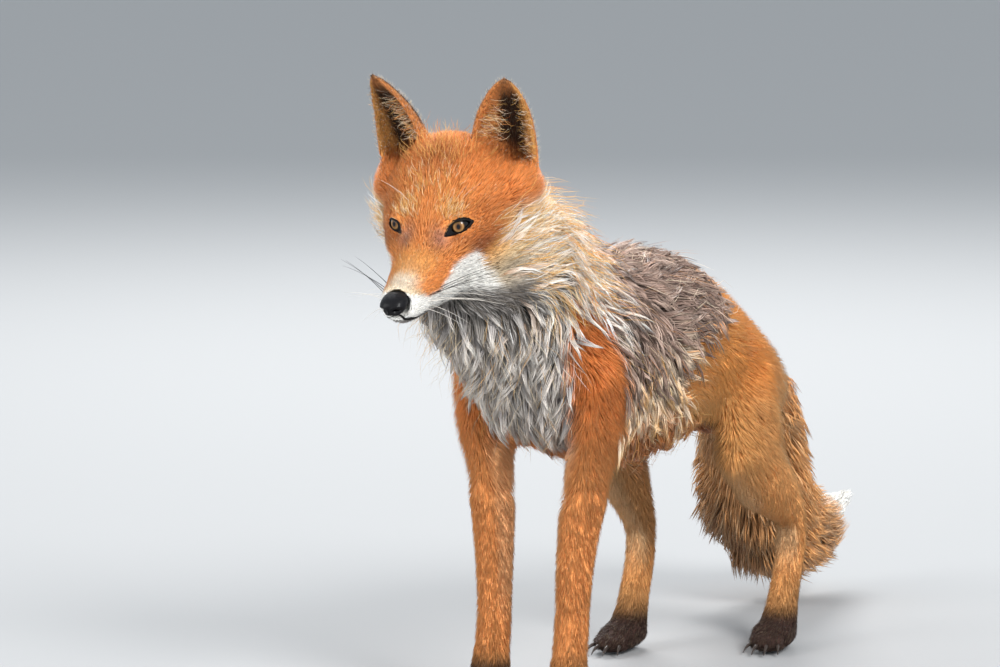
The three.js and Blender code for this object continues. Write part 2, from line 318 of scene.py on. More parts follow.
def place(name, mesh, paint, slot, replaces=()):
    piece = bpy.data.objects.new(name, mesh)
    bpy.context.collection.objects.link(piece)
    mesh.materials.append(paint)
    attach(piece, "root")
    if replaces:
        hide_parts(*replaces)
    return piece


def band(rows, sides):
    """Quads between rows of points that go round."""
    grid = np.arange(rows * sides).reshape(rows, sides)
    beside = np.roll(grid, -1, 1)
    return np.stack([grid[:-1], beside[:-1], beside[1:], grid[1:]], 2).reshape(-1, 4)


def closed(rings, ends=None):
    """A closed solid, facing outwards, through rings of equally many points and a point at either end."""
    rings = np.asarray(rings)
    ends = rings[[0, -1]].mean(1) if ends is None else ends
    rows, sides = rings.shape[:2]
    count, j = rows * sides, np.arange(sides)
    beside = (j + 1) % sides
    first = np.stack([0 * j + count, beside, j], 1)
    last = np.stack([0 * j + count + 1, j + count - sides, beside + count - sides], 1)
    tris = np.concatenate([halves(band(rows, sides)), first, last])
    points = np.concatenate([rings.reshape(-1, 3), ends])
    a, b, c = corners(points, tris)
    volume = dot(np.cross(a - points[0], b - points[0]), c - points[0]).sum()
    return points, tris if volume > 0 else tris[:, ::-1]


def globe(ways, around):
    """Rings of points on a ball of radius 1, at angles from its pole."""
    v, u = np.meshgrid(ways, np.linspace(0, 2 * math.pi, around, endpoint=False), indexing="ij")
    return np.stack([np.sin(v) * np.cos(u), np.sin(v) * np.sin(u), np.cos(v)], 2)


def tube(points, radii, sides=8):
    """A closed tapering tube along a row of points."""
    points = np.asarray(points, float)
    t = unit(np.gradient(points, axis=0))
    side = [unit(np.cross(t[0], [0.3, 0.2, 0.9]))]
    for way in t[1:]:
        side.append(unit(side[-1] - way * dot(side[-1], way)))
    side = np.array(side)
    turn = np.linspace(0, 2 * math.pi, sides, endpoint=False)[None, :, None]
    ring = side[:, None] * np.cos(turn) + np.cross(t, side)[:, None] * np.sin(turn)
    return closed(points[:, None] + ring * np.asarray(radii)[:, None, None], points[[0, -1]])


# ------------------------------------------------------------------ the skin
EAR = {"foot": (39, -59, 15), "tip": (56, -56, 101.5), "width": 27.5, "depth": 24, "facing": 22}


def ear_width(short):
    """The ear's half width in millimetres at a distance below its tip."""
    short = np.maximum(short, 0)
    round_tip = np.sqrt(np.clip(1 - (1 - np.minimum(short, 6) / 6) ** 2, 0, 1))
    return EAR["width"] * (1 - np.exp(-(short + 3.2) / 29)) * round_tip + 0.3


def ear_frame(side):
    """The ear's foot, the ways up it, out of its mouth and across it to the outer edge, and its height."""
    foot = head_place(*on_side(side, EAR["foot"]))
    rise = head_place(*on_side(side, EAR["tip"])) - foot
    tall = np.linalg.norm(rise)
    rise = rise / tall
    turn = math.radians(EAR["facing"])
    mouth = head_way(side * math.sin(turn), math.cos(turn), 0)
    mouth = unit(mouth - rise * dot(mouth, rise))
    outward = np.cross(mouth, rise) * -side
    return foot, rise, mouth, outward, tall


# For each node: the coat's depth, the hairs' length and width in millimetres, how far they stand up to the
# coat's full depth, their curl, their number per square centimetre, how strongly they draw into pointed
# locks, and their lie as left, forward and up.
COAT = {
    "muzzle": (1.8, 5.0, 0.65, 0.85, 0.0, 190, 0.0, (0, -1, 0)),
    "head": (4.5, 9.5, 0.75, 0.9, 0.05, 135, 0.0, (0, -1, 0)),
    "jaw": (2.5, 6.5, 0.7, 0.85, 0.0, 150, 0.0, (0, -1, 0)),
    "ear": (0.8, 5, 0.55, 0.85, 0.05, 80, 0.0, (0, 0, 1)),
    "neck": (24, 40, 1.7, 1.0, 0.30, 38, 0.95, (0, -0.55, -0.85)),
    "chest": (22, 38, 1.8, 1.0, 0.36, 30, 0.97, (0, -0.5, -0.85)),
    "loin": (17, 36, 1.9, 1.0, 0.42, 26, 0.93, (0, -1, -0.55)),
    "rump": (11, 16, 1.25, 0.85, 0.06, 48, 0.1, (0, -1, -0.7)),
    "shoulder": (11, 14, 1.0, 0.75, 0.05, 75, 0.05, (0, -0.3, -1)),
    "forearm": (4.5, 12, 1.0, 0.85, 0.0, 62, 0.0, (0, -0.1, -1)),
    "forepaw": (2.5, 7, 0.9, 0.85, 0.0, 70, 0.0, (0, 0.8, -0.6)),
    "thigh": (11, 14, 1.2, 0.9, 0.08, 52, 0.1, (0, -0.5, -0.9)),
    "shank": (6, 13, 1.1, 0.9, 0.05, 56, 0.05, (0, -0.35, -1)),
    "hock": (3.5, 10, 0.95, 0.85, 0.0, 62, 0.0, (0, 0, -1)),
    "hindpaw": (2.5, 7, 0.9, 0.85, 0.0, 70, 0.0, (0, 0.8, -0.6)),
    "tail_root": (26, 44, 2.0, 1.0, 0.15, 24, 0.6, (0, -0.5, -0.9)),
    "tail_middle": (36, 50, 2.1, 1.0, 0.18, 24, 0.6, (0, -0.8, -0.6)),
    "tail_tip": (26, 34, 1.4, 0.9, 0.08, 44, 0.3, (0, -1, 0)),
}
DEPTH, LONG, WIDE, LIFT, CURL, DENSE, CLUMP = range(7)
LIE = slice(7, 10)
MASKS = {"head": 10, "ear": 11, "neck": 12, "trunk": 13, "arm": 14, "hind": 15, "paw": 16, "tail": 17}
SETTLE = {"head": 10, "muzzle": 8, "jaw": 6, "ear": 4, "forepaw": 5, "hindpaw": 5, "forearm": 26, "hock": 18,
          "shank": 30}  # rounds of smoothing that take the facets away
SETTLE_ELSEWHERE = 70
COAT_BLEND = 34  # rounds of smoothing of the coat where nodes meet
FLESH = [n for n in NODES if n != "nose" and not n.startswith("eye")]
MOUNDS = [((52, -64, 4), (20, 24, 25)), ((50, -66, -22), (24, 22, 26))]  # roots of the ears, and the cheeks


def kind_of(name):
    return name if name in COAT else name.rsplit("_", 1)[0]


def mask_of(kind):
    groups = {"head": ("head", "muzzle", "jaw"), "ear": ("ear",), "neck": ("neck",),
              "trunk": ("chest", "loin", "rump"), "arm": ("shoulder", "forearm"),
              "hind": ("thigh", "shank", "hock"), "paw": ("forepaw", "hindpaw")}
    return next((g for g, kinds in groups.items() if kind in kinds), "tail")


def row_of(name):
    kind = kind_of(name)
    *sizes, lie = COAT[kind]
    way = unit(np.array([lie[0], -lie[1], lie[2]], float))
    flags = np.zeros(len(MASKS))
    flags[MASKS[mask_of(kind)] - 10] = 1
    return np.r_[sizes, way, flags]


def welded(name):
    points, tris = read(NODES[name].data)
    keys = np.round(points / WELD).astype(np.int64)
    _, first, back = np.unique(keys, axis=0, return_index=True, return_inverse=True)
    return points[first], back.reshape(-1)[tris]


def ear_solid(side):
    """An ear: a round-tipped cup that opens forwards and outwards, and is rooted in the head."""
    foot, rise, mouth, outward, tall = ear_frame(side)
    rings = []
    for s in np.linspace(0, 1, 30):
        h = -0.30 + 1.30 * (1 - (1 - s) ** 1.6)
        short = tall / MM * (1 - h)
        width = float(ear_width(np.array(short))) * (1 - 0.2 * smooth(0.1, -0.3, h))
        depth = EAR["depth"] * min(1, max(1 - h, 0)) ** 0.7 + 0.6
        thick = min(4.6 - 1.2 * h, 0.62 * width, 0.7 * depth + 1)
        reach = math.radians(104 - 22 * h)
        turn = np.linspace(-reach, reach, 23)

        def arc(inset, ways):
            x = (width - inset + 3 * (1 - h) * (ways > 0)) * np.sin(ways)
            y = -(depth - inset) * np.cos(ways) - 6 * math.sin(math.pi * max(h, 0))
            return foot + rise * (h * tall) + (outward * x[:, None] + mouth * y[:, None]) * MM

        rings.append(np.concatenate([arc(0, turn), arc(thick, turn[::-1])]))
    return closed(rings)


def mound(place, half):
    """An egg-shaped swelling of flesh in the head's frame, longest along its own axes."""
    local = (globe(np.linspace(0.05, math.pi - 0.05, 14), 20) * half + place) * [1, -1, 1] * MM
    return closed(HEAD + local @ HEAD_AXES.T)


def whole_flesh():
    """All the flesh as one set of triangles, and the node that each is of."""
    head = FLESH.index("head")
    shapes = [(i, *(welded(n) if not n.startswith("ear") else ear_solid(1 if n == "ear_left" else -1)))
              for i, n in enumerate(FLESH)]
    shapes += [(head, *mound(on_side(side, place), half)) for side in (1, -1) for place, half in MOUNDS]
    shapes += [(head, *welded(eye)) for eye in ("eye_left", "eye_right")]
    points, tris = joined([(p + normals(p, t) * SWELL, t) for _, p, t in shapes])
    return points, tris, np.concatenate([np.full(len(t), i) for i, _, t in shapes])


def remeshed(points, tris):
    block = bpy.data.objects.new("block", write("block", points, tris))
    bpy.context.collection.objects.link(block)
    voxels = block.modifiers.new("voxels", "REMESH")
    voxels.mode = "VOXEL"
    voxels.voxel_size = VOXEL
    made = bpy.data.meshes.new_from_object(block.evaluated_get(bpy.context.evaluated_depsgraph_get()))
    bpy.data.objects.remove(block)
    points, faces = pulled(made.vertices, "co", 3).astype(float), pulled(made.loops, "vertex_index", 1, np.int32)
    bpy.data.meshes.remove(made)
    return points, faces.reshape(-1, 4)


def largest(points, quads):
    """Leaves only the largest connected part."""
    label = np.arange(len(points))
    while True:
        low = label[quads].min(1)
        fresh = label.copy()
        for k in range(4):
            np.minimum.at(fresh, quads[:, k], low)
        fresh = fresh[fresh]
        if (fresh == label).all():
            break
        label = fresh
    keep = label == np.bincount(label).argmax()
    number = np.cumsum(keep) - 1
    return points[keep], number[quads[keep[quads[:, 0]]]]


def neighbours(quads, count):
    """For each vertex a row of those that it shares an edge with, filled up with itself, and their number."""
    edges = np.concatenate([quads[:, [k, (k + 1) % 4]] for k in range(4)])
    edges = np.unique(np.sort(edges, axis=1), axis=0)
    both = np.concatenate([edges, edges[:, ::-1]])
    both = both[np.argsort(both[:, 0], kind="stable")]
    start = np.searchsorted(both[:, 0], np.arange(count))
    rank = np.arange(len(both)) - start[both[:, 0]]
    rows = np.tile(np.arange(count)[:, None], (1, MOST))
    fits = rank < MOST
    rows[both[fits, 0], rank[fits]] = both[fits, 1]
    return rows, np.minimum(np.bincount(both[:, 0], minlength=count), MOST)


def settle(values, rows, degree, rounds, share=0.5):
    """Draws each vertex's values towards its neighbours', `rounds` times (a number, or one per vertex)."""
    rounds = np.broadcast_to(rounds, len(values))
    spare = (MOST - degree)[:, None]
    for i in range(int(rounds.max())):
        near = (values[rows].sum(1) - spare * values) / degree[:, None]
        values = values + (near - values) * (share * (rounds > i))[:, None]
    return values


class Skin:
    pass


def arm_edge(f, u):
    """How far in millimetres a place lies ahead of the edge between the shoulder and the flank."""
    return f - 192 - 0.2 * np.maximum(u - 220, 0)


def shoulder_patch(p):
    """Where the coat of the shoulder is short and orange up to the neck, from 0 to 1."""
    left, f, u = in_body(p)
    return smooth(38, 50, abs(left)) * smooth(360, 334, u) * smooth(250, 238, f) * smooth(-6, 6, arm_edge(f, u))


def flank_patch(p):
    """Where the long coat of the flank comes over the back of the shoulder."""
    left, f, u = in_body(p)
    return smooth(30, 40, abs(left)) * smooth(2, -8, arm_edge(f, u)) * smooth(100, 125, f) * smooth(212, 236, u)


def rump_patch(p):
    """Where the coat of the rump is short and orange, behind the long coat of the back."""
    _, f, u = in_body(p)
    edge = 8 + 2 * np.clip(318 - u, 0, 45) + 15 * ripple(p, 0.028, 6)
    return smooth(-10, 10, edge - f) * smooth(205, 225, u)


def make_skin():
    """The skin's points and coat, with `outer` the coat's outside over each point."""
    points, tris, owner = whole_flesh()
    outer, quads = largest(*remeshed(points, tris))
    rows, degree = neighbours(quads, len(outer))
    tree = BVHTree.FromPolygons(points.tolist(), tris.tolist())
    label = owner[np.array([tree.find_nearest(p)[2] for p in outer.tolist()])]
    rounds = np.array([SETTLE.get(kind_of(n), SETTLE_ELSEWHERE) for n in FLESH])[label]
    rounds = settle(rounds[:, None].astype(float), rows, degree, 8)[:, 0]
    outer = settle(outer, rows, degree, rounds)
    coat = settle(np.array([row_of(n) for n in FLESH])[label], rows, degree, COAT_BLEND)
    left, f, u = in_body(outer)
    leg = smooth(226, 208, u) * smooth(14, 22, abs(left)) * smooth(150, 165, f)
    patches = ((shoulder_patch(outer), ("neck", "trunk"), "arm", "shoulder_left"),
               (leg, ("neck", "trunk"), "arm", "forearm_left"),
               (rump_patch(outer), ("trunk",), "hind", "thigh_left"),
               (flank_patch(outer), ("arm",), "trunk", "loin"))
    for share, kept, kind, name in patches:
        moved = share * sum(coat[:, MASKS[m]] for m in kept)
        for m in kept:
            coat[:, MASKS[m]] *= 1 - share
        coat[:, MASKS[kind]] += moved
        coat[:, :LIE.start] = mix(coat[:, :LIE.start], row_of(name)[None, :LIE.start], moved)
    s = Skin()
    s.quads, s.rows, s.degree, s.coat, s.tris = quads, rows, degree, coat, halves(quads)
    s.outer = sculpt(outer, coat, s.tris)
    s.out = unit(settle(normals(s.outer, s.tris), rows, degree, 6))
    return s


# ------------------------------------------------------------------ forms of the face
# The eye's place in the head's frame, and its outline round the centre of the iris, as seen from straight
# before the lids: pairs of a point on the lids' edge on the skin and one on their edge on the ball.
EYE = {"place": (23.6, -6.0, 0.2), "radius": 9.2, "faces": (0.475, 0.792, 0.383), "gaze": (0.36, 0.88, 0.31),
       "roll": -7.5, "squint": (0.86, 0.58)}
LIDS = [
    ((-12.2, -7.6), (-6.3, -1.8)), ((-11.0, -3.6), (-6.0, -0.2)), ((-8.7, -0.4), (-5.2, 1.4)),
    ((-6.1, 2.4), (-3.9, 2.4)), ((-2.7, 4.8), (-1.6, 3.2)), ((1.9, 5.9), (1.9, 3.7)),
    ((6.5, 5.3), (5.4, 3.6)), ((9.5, 4.0), (7.6, 2.9)), ((11.0, 2.9), (8.3, 2.2)),
    ((10.3, 1.2), (7.6, 0.8)), ((7.4, -1.4), (6.0, -0.8)), ((4.2, -3.7), (3.4, -2.8)),
    ((0.4, -5.6), (0.2, -4.5)), ((-3.4, -6.7), (-3.1, -5.1)), ((-8.7, -7.9), (-5.8, -4.2)),
]
# Swellings and hollows of the face: place on the left side in the head's frame, size and height.
FORMS = [
    ((20, 8, 16), 9, 4.2),  # brow
    ((33, -2, 13), 8, 2.6),  # outer brow
    ((16, 16, -3), 6.5, -2.4),  # hollow before the inner corner
    ((34, 4, -13), 10, 3.0),  # cheekbone
    ((22, 26, -22), 9, -1.2),  # hollow before the cheek
    ((15, 58, -35), 9, 1.6),  # whisker pad
    ((0, 22, 4), 8, -1.6),  # stop
    ((0, -8, 30), 9, -1.2),  # furrow of the forehead
    ((6, 52, -15), 6, 0.8),  # bridge of the nose
]
NOSE = {"place": (0, 74.0, -28.2), "half": (10.2, 12.0, 7.7)}


def eye_frame(side):
    """The ball's centre, and the ways to the right, up and out of its lids, for side 1 (left) or -1."""
    out = head_way(*on_side(side, EYE["faces"]))
    across = unit(np.cross(HEAD_AXES[:, 2], out)) * side
    rise = np.cross(out, across) * side
    roll = math.radians(EYE["roll"])
    across, rise = across * math.cos(roll) + rise * math.sin(roll), rise * math.cos(roll) - across * math.sin(roll)
    return head_place(*on_side(side, EYE["place"])), across, rise, out


def lid_plane(p, side):
    """Places as seen from straight before the lids, in millimetres: across towards the outer corner, up, out."""
    middle, across, rise, out = eye_frame(side)
    d = (p - middle) / MM
    return d @ across, d @ rise, d @ out


def inside(x, y, outline):
    """Whether points lie inside a closed outline."""
    odd = np.zeros(x.shape, bool)
    for (ax, ay), (bx, by) in zip(outline, np.roll(outline, -1, 0)):
        slope = (bx - ax) / (by - ay if abs(by - ay) > 1e-9 else 1e-9)
        odd ^= ((ay > y) != (by > y)) & (x < ax + slope * (y - ay))
    return odd


def lid_outline(side, which=0, count=60):
    """The lids' edge on the skin (0) or on the ball (1). The right eye's upper lid lies lower."""
    line = through([pair[which] for pair in LIDS], count, True)
    if side < 0:
        line[:, 0] *= np.where(line[:, 0] < 0, EYE["squint"][0], 1)
        line[:, 1] *= np.where(line[:, 1] > 0, EYE["squint"][1], 1)
    return line


def eye_gaps(p):
    """The distance in millimetres from the outline of the nearer eye's lids, 0 inside it."""
    gap = np.full(len(p), 99.0)
    for side in (1, -1):
        outline = lid_outline(side)
        x, y, z = lid_plane(p, side)
        near = np.where((abs(x) < 34) & (abs(y) < 34) & (z > -12) & (z < 30))[0]
        d = np.hypot(x[near, None] - outline[:, 0], y[near, None] - outline[:, 1]).min(1)
        gap[near] = np.where(inside(x[near], y[near], outline), 0, d)
    return gap


def fit_lids(s):
    """Lays the skin round each eye on the ball."""
    gap = eye_gaps(s.skin)
    ball = EYE["radius"] + 1.0
    for side in (1, -1):
        x, y, z = lid_plane(s.skin, side)
        r = np.hypot(x, y)
        wanted = np.sqrt(np.maximum(ball ** 2 - r ** 2, 1))
        share = smooth(8, 0, gap) * smooth(ball - 0.3, ball - 4, r) * (z > -12) * (gap < 30)
        s.skin += eye_frame(side)[3] * ((wanted - z) * share * MM)[:, None]


def sculpt(outer, coat, tris):
    """Raises the face's swellings and sinks its hollows."""
    head = coat[:, MASKS["head"]]
    left, forward, up = in_head(outer)
    grow = np.zeros(len(outer))
    for (l, f, u), size, height in FORMS:
        d = np.sqrt((abs(left) - l) ** 2 + (forward - f) ** 2 + (up - u) ** 2)
        grow += height * bump(d, size)
    outer = outer + normals(outer, tris) * (grow * head * MM)[:, None]
    gap = eye_gaps(outer)
    coat[:, DEPTH] *= 0.2 + 0.8 * smooth(0, 12, gap)
    coat[:, LONG] *= 0.4 + 0.6 * smooth(0, 15, gap)
    coat[:, WIDE] *= 0.75 + 0.25 * smooth(0, 10, gap)
    return outer


# ------------------------------------------------------------------ colours of the coat
PALETTE = {name: colour(text) for name, text in {
    "orange": "#dd8f50", "face": "#ea944e", "red": "#a85a2c", "yellow": "#f2b868", "cream": "#f6dcb2",
    "white": "#fffcf6", "grey": "#cdc3b9", "slate": "#6a605c", "back": "#aa8d7e", "umber": "#5e473c",
    "buff": "#f3dcbf", "tan": "#b98250", "brown": "#805636", "dark": "#3a2720", "black": "#141110",
    "brush": "#f0ae6c", "thigh": "#ffbc74", "shade": "#3f3936", "mauve": "#ab7560", "ash": "#b3aca8",
    "pearl": "#efe6da", "dust": "#cdb3a2", "ember": "#f9954c", "rump": "#ffa653", "rust": "#b9703a",
}.items()}


def washed(base, *washes):
    """A colour under washes of others, each a name or a colour and how much of it there is, from 0 to 1."""
    out = PALETTE[base][None] if isinstance(base, str) else base
    for paint, amount in washes:
        out = mix(out, PALETTE[paint] if isinstance(paint, str) else paint, amount)
    return out


def ear_places(p):
    """How far up the nearer ear, and how far across it to the outer edge from -1 to 1, for each place."""
    left = in_head(p)[0]
    up, across = np.zeros(len(p)), np.zeros(len(p))
    for side in (1, -1):
        foot, rise, _, outward, tall = ear_frame(side)
        here = left * side > 0
        d = p[here] - foot
        up[here] = dot(d, rise) / tall
        across[here] = dot(d, outward) / (ear_width((1 - up[here]) * tall / MM) * MM)
    return up, across


def ear_inside(p, n):
    """How much the surface faces into the ear's cup, from 0 to 1."""
    facing = np.zeros(len(p))
    left = in_head(p)[0]
    for side in (1, -1):
        foot, rise, mouth, *_ = ear_frame(side)
        here = left * side > 0
        inward = foot + mouth * 0.012 - p[here]
        inward -= rise * dot(inward, rise)[:, None]
        facing[here] = dot(n[here], unit(inward))
    return smooth(0.0, 0.35, facing)


def face_colours(p, n):
    left, f, u = in_head(p)
    a = abs(left)
    under_eye = u + 0.24 * (a - 18)
    slope = u + 0.12 * (f - 40)
    ridge = smooth(-22, -11, slope)
    behind = (-f - 12) / 28 + np.maximum(0, -10 - u) / 22
    ruff = smooth(0.1, 0.95, behind + 0.12 * ripple(p, 0.02, 3)) * smooth(22, 40, a) * smooth(8, -14, u)
    pale = washed("yellow", ("cream", smooth(0.35, 1.2, behind)), ("white", 0.4 * smooth(1.0, 1.8, behind)))
    edge = np.interp(f, [-14, -5, 4, 16, 29, 40, 53, 64, 76], [-52, -26, -18, -19, -27, -33, -31, -25, -19])
    white = smooth(-1.5, 2.5, edge - u + 0.8 * ripple(p, 0.006, 4)) * smooth(-7, 0, f + 2 * ripple(p, 0.008, 12))
    chin = smooth(-0.5, -2.0, u - np.interp(f, [30, 50, 62, 72], [-47.6, -45, -42.5, -40.5]))
    return washed(
        "face",
        ("ember", smooth(-5, -40, f) * 0.5),
        ("yellow", 0.45 * bump(a - 24, 12) * bump(f, 10) * bump(u - 17, 8)),
        ("red", 0.62 * bump(f + 34, 16) * bump(a - 6, 12) * smooth(18, 30, u)),
        ("brown", 0.15 * bump(f + 36, 11) * bump(a - 3, 6) * smooth(24, 34, u)),
        ("red", 0.95 * bump(under_eye + 9, 7) * smooth(14, 4, f) * smooth(-34, -20, f) * smooth(15, 24, a)),
        ("brown", 0.6 * bump(under_eye + 12, 6) * smooth(16, 6, f) * smooth(-36, -16, f) * smooth(13, 22, a)),
        # Mauve at the inner corner of each eye: the dark tear mark, with painted shade in the hollow before the corner.
        ("mauve", 0.6 * bump(np.hypot(np.hypot(a - 14, f - 16), u + 2), 9)),
        ("mauve", 0.75 * bump(np.hypot(np.hypot(a - 15, f - 12), u + 3), 7)),
        # Paler up the top of the muzzle towards the nose: partly its own paler coat, partly a painted highlight on the
        # top.
        ("yellow", 0.5 * smooth(14, 40, f) * ridge),
        ("cream", 0.35 * smooth(30, 52, f) * smooth(-17, -8, slope)),
        ("cream", smooth(42, 60, f) * (0.05 + 0.95 * np.maximum(ridge, smooth(54, 66, f)))),
        # Painted highlight: white on the top of the muzzle near the nose.
        ("white", 0.55 * smooth(46, 60, f) * ridge),
        ("red", 0.45 * smooth(16, 26, a) * smooth(12, -4, f) * smooth(24, 4, u)),
        (pale, ruff),
        # Painted shadow: slate on the ruff low behind the white of the cheek.
        ("slate", 0.55 * bump(f + 13, 11) * smooth(-24, -36, u)),
        ("white", white),
        ("grey", smooth(-46, -60, u) * smooth(12, 0, f)),
        ("slate", 0.7 * chin * smooth(40, 54, f)),
        ("shade", 0.75 * smooth(-46, -56, u) * smooth(22, 8, f) * smooth(-26, -10, f)))


def ear_colours(p, n):
    up, across = ear_places(p)
    # The hollow inside the ear's cup is near black: the ear's dark inside, with painted shade in its recess.
    hollow = smooth(-0.32, 0.0, across) * smooth(0.8, 0.58, across) * smooth(0.92, 0.72, up) * smooth(-0.25, 0.0, up)
    back = washed("orange", ("dark", smooth(0.15, 0.5, up) * (1 - 0.8 * smooth(0.8, 0.97, abs(across)))))
    front = washed("orange", ("brown", 0.45 * smooth(-0.75, -0.2, across)), ("yellow", 0.6 * smooth(0.5, 0.85, across)),
                   ("black", 0.93 * hollow), ("brown", 0.8 * smooth(0.9, 0.98, up)))
    return mix(back, front, ear_inside(p, n))


def neck_colours(p, n):
    left, f, u = in_body(p)
    along = f + 0.25 * (u - 330) + 6 * ripple(p, 0.02, 15)
    side = washed(washed("white", ("cream", 0.25)), ("orange", 0.5 * smooth(232, 214, along)),
                  ("back", smooth(224, 198, along)),
                  ("yellow", 0.4 * smooth(0.3, 0.9, n[:, 2]) * smooth(215, 235, along)),
                  ("white", 0.5 * smooth(255, 275, along)))
    front = washed("grey", ("white", smooth(345, 375, u + 0.3 * abs(left + 35))),
                   ("shade", 0.75 * smooth(314, 332, u) * smooth(362, 346, u)))
    return washed(side, (front, smooth(-0.1, 0.35, 0.1 * ripple(p, 0.03, 5) - n[:, 1])), ("ember", shoulder_patch(p)))


def trunk_colours(p, n):
    _, f, u = in_body(p)
    front = washed("grey", ("white", 0.5 * smooth(0.2, 0.9, ripple(p, 0.03, 9))))
    return washed(
        "buff",
        ("back", smooth(262, 306, u + 14 * ripple(p, 0.035, 6))),
        ("tan", 0.25 * smooth(0.1, 0.7, ripple(p, 0.03, 14)) * smooth(300, 270, u)),
        ("rust", 0.8 * smooth(236, 205, u)),
        ("umber", 0.5 * smooth(0.3, 0.9, ripple(p, 0.018, 8)) * smooth(255, 300, u)),
        ("rump", rump_patch(p)),
        ("rump", 0.9 * smooth(254, 222, u)),
        ("rust", 0.75 * smooth(244, 212, u)),
        (front, smooth(212, 232, f) * smooth(0.0, 0.4, -n[:, 1])),
        ("ember", shoulder_patch(p)))


def arm_colours(p, n):
    left, _, u = in_body(p)
    inward = -n[:, 0] * np.sign(left)
    return washed(
        "orange",
        ("ember", 0.85),
        ("thigh", 0.5 * smooth(270, 190, u)),
        ("white", 0.7 * smooth(0.35, 0.8, -n[:, 1]) * smooth(235, 265, u) * smooth(48, 38, abs(left))),
        ("cream", 0.3 * smooth(0.5, 0.95, inward) * smooth(60, 120, u)),
        ("dark", dark_foot(p)))


def hind_colours(p, n):
    left, f, u = in_body(p)
    inward = -n[:, 0] * np.sign(left)
    return washed(
        "orange",
        ("thigh", 0.8),
        ("rump", smooth(215, 250, u)),
        ("cream", 0.85 * smooth(0.15, 0.6, n[:, 1]) * bump(u - 222, 42) * smooth(-40, -80, f)),
        ("yellow", 0.3 * smooth(-70, -20, f) * smooth(150, 190, u)),
        # Painted shade: brown on the inner side of each hind leg, where the legs face each other.
        ("brown", 0.5 * smooth(0.15, 0.7, inward) * smooth(50, 110, u)),
        ("cream", 0.5 * smooth(0.2, 0.8, -n[:, 1]) * smooth(180, 130, u) * smooth(60, 100, u)),
        ("dark", dark_foot(p)))


def dark_foot(p):
    return 0.85 * smooth(64, 20, in_body(p)[2] + 5 * ripple(p, 0.02, 10))


def paw_colours(p, n):
    return PALETTE["dark"]


def tail_colours(p, n):
    _, f, u = in_body(p)
    return washed(
        "brush",
        # Painted shade: brown on the side of the hanging tail that faces forwards, towards the legs.
        ("brown", 0.6 * smooth(0.2, 0.9, -0.9 * n[:, 1] - 0.1 * abs(n[:, 0]))),
        ("orange", 0.5 * smooth(190, 235, u)),
        ("umber", 0.45 * smooth(0.2, 0.9, ripple(p, 0.03, 11))),
        ("white", smooth(-354, -386, f + 8 * ripple(p, 0.02, 13))))


COLOURS = {"head": face_colours, "ear": ear_colours, "neck": neck_colours, "trunk": trunk_colours,
           "arm": arm_colours, "hind": hind_colours, "paw": paw_colours, "tail": tail_colours}


def coat_colours(p, n, coat):
    """The coat's colour at places on the body, blended where two regions meet."""
    out, total = np.zeros((len(p), 3)), np.zeros(len(p))
    for name, make in COLOURS.items():
        share = coat[:, MASKS[name]]
        here = share > 0.01
        out[here] += make(p[here], n[here]) * share[here, None]
        total += share * here
    return out / np.maximum(total, 1e-6)[:, None]


# ------------------------------------------------------------------ the lie of the coat
TAIL_TIP = BODY + np.array([-14, 475, 80]) * MM  # where the tail's last hairs point


def lie_of_coat(s):
    """The way that the hair lies at each point of the skin, along its surface."""
    left = in_head(s.outer)[0]
    away = unit(s.outer - head_place(0, 92, -30) + HEAD_AXES @ np.array([0, 0.02, 0]))
    way = mix(s.coat[:, LIE], away, s.coat[:, MASKS["head"]])
    for side in (1, -1):
        way = mix(way, ear_frame(side)[1], s.coat[:, MASKS["ear"]] * (left * side > 0))
    ending = s.coat[:, MASKS["tail"]] * smooth(-330, -400, in_body(s.outer)[1])
    way = mix(way, unit(TAIL_TIP - s.outer), ending)
    swirl = np.stack([ripple(s.outer, 0.05, k) for k in (21, 22, 23)], 1)
    way = unit(way) + 0.22 * swirl * (s.coat[:, [CURL]] > 0.1)
    for _ in range(3):
        way = settle(along_skin(s, way), s.rows, s.degree, 8)
    return along_skin(s, way)


def along_skin(s, way):
    return unit(way - s.out * dot(way, s.out)[:, None])


# ------------------------------------------------------------------ tufts
UV_PATCH = 0.003  # the size of a tuft on the skin's unwrap


def walk(s, at, target):
    """From each vertex in `at`, along the skin to the vertex nearest to its target."""
    for _ in range(9):
        near = np.concatenate([at[:, None], s.rows[at]], 1)
        far = ((s.skin[near] - target[:, None]) ** 2).sum(2)
        at = near[np.arange(len(at)), far.argmin(1)]
    return at


def risen(part):
    """How much of its full height a hair has reached, part of the way along."""
    return 1 - (1 - part) ** 1.9


def grow(s, root, at, long, rings, lift, sway):
    """Paths of hairs from their roots: the points, and the skin's outward ways at them."""
    spot, spine, ways = root, [root], [s.out[at]]
    for k in range(1, rings + 1):
        target = spot + unit(s.lie[at] + sway) * (long / rings)[:, None]
        at = walk(s, at, target)
        n = s.out[at]
        spot = target - n * dot(target - s.skin[at], n)[:, None]
        height = s.coat[at, DEPTH] * MM * lift * risen(k / rings)
        spine.append(spot + n * height[:, None])
        ways.append(n)
    return np.stack(spine, 1), np.stack(ways, 1)


def areas(s):
    a, b, c = corners(s.outer, s.tris)
    return np.linalg.norm(np.cross(b - a, c - a), axis=1) / 2


def scatter(s, weight, count):
    """Random places on the skin, as triangles and shares of their corners, by a weight per vertex."""
    chance = np.cumsum(areas(s) * weight[s.tris].mean(1))
    tri = np.searchsorted(chance, rng.uniform(0, chance[-1], count)).clip(0, len(s.tris) - 1)
    x, y = rng.uniform(size=(2, count))
    flip = x + y > 1
    x, y = np.where(flip, 1 - x, x), np.where(flip, 1 - y, y)
    return tri, np.stack([1 - x - y, x, y], 1)


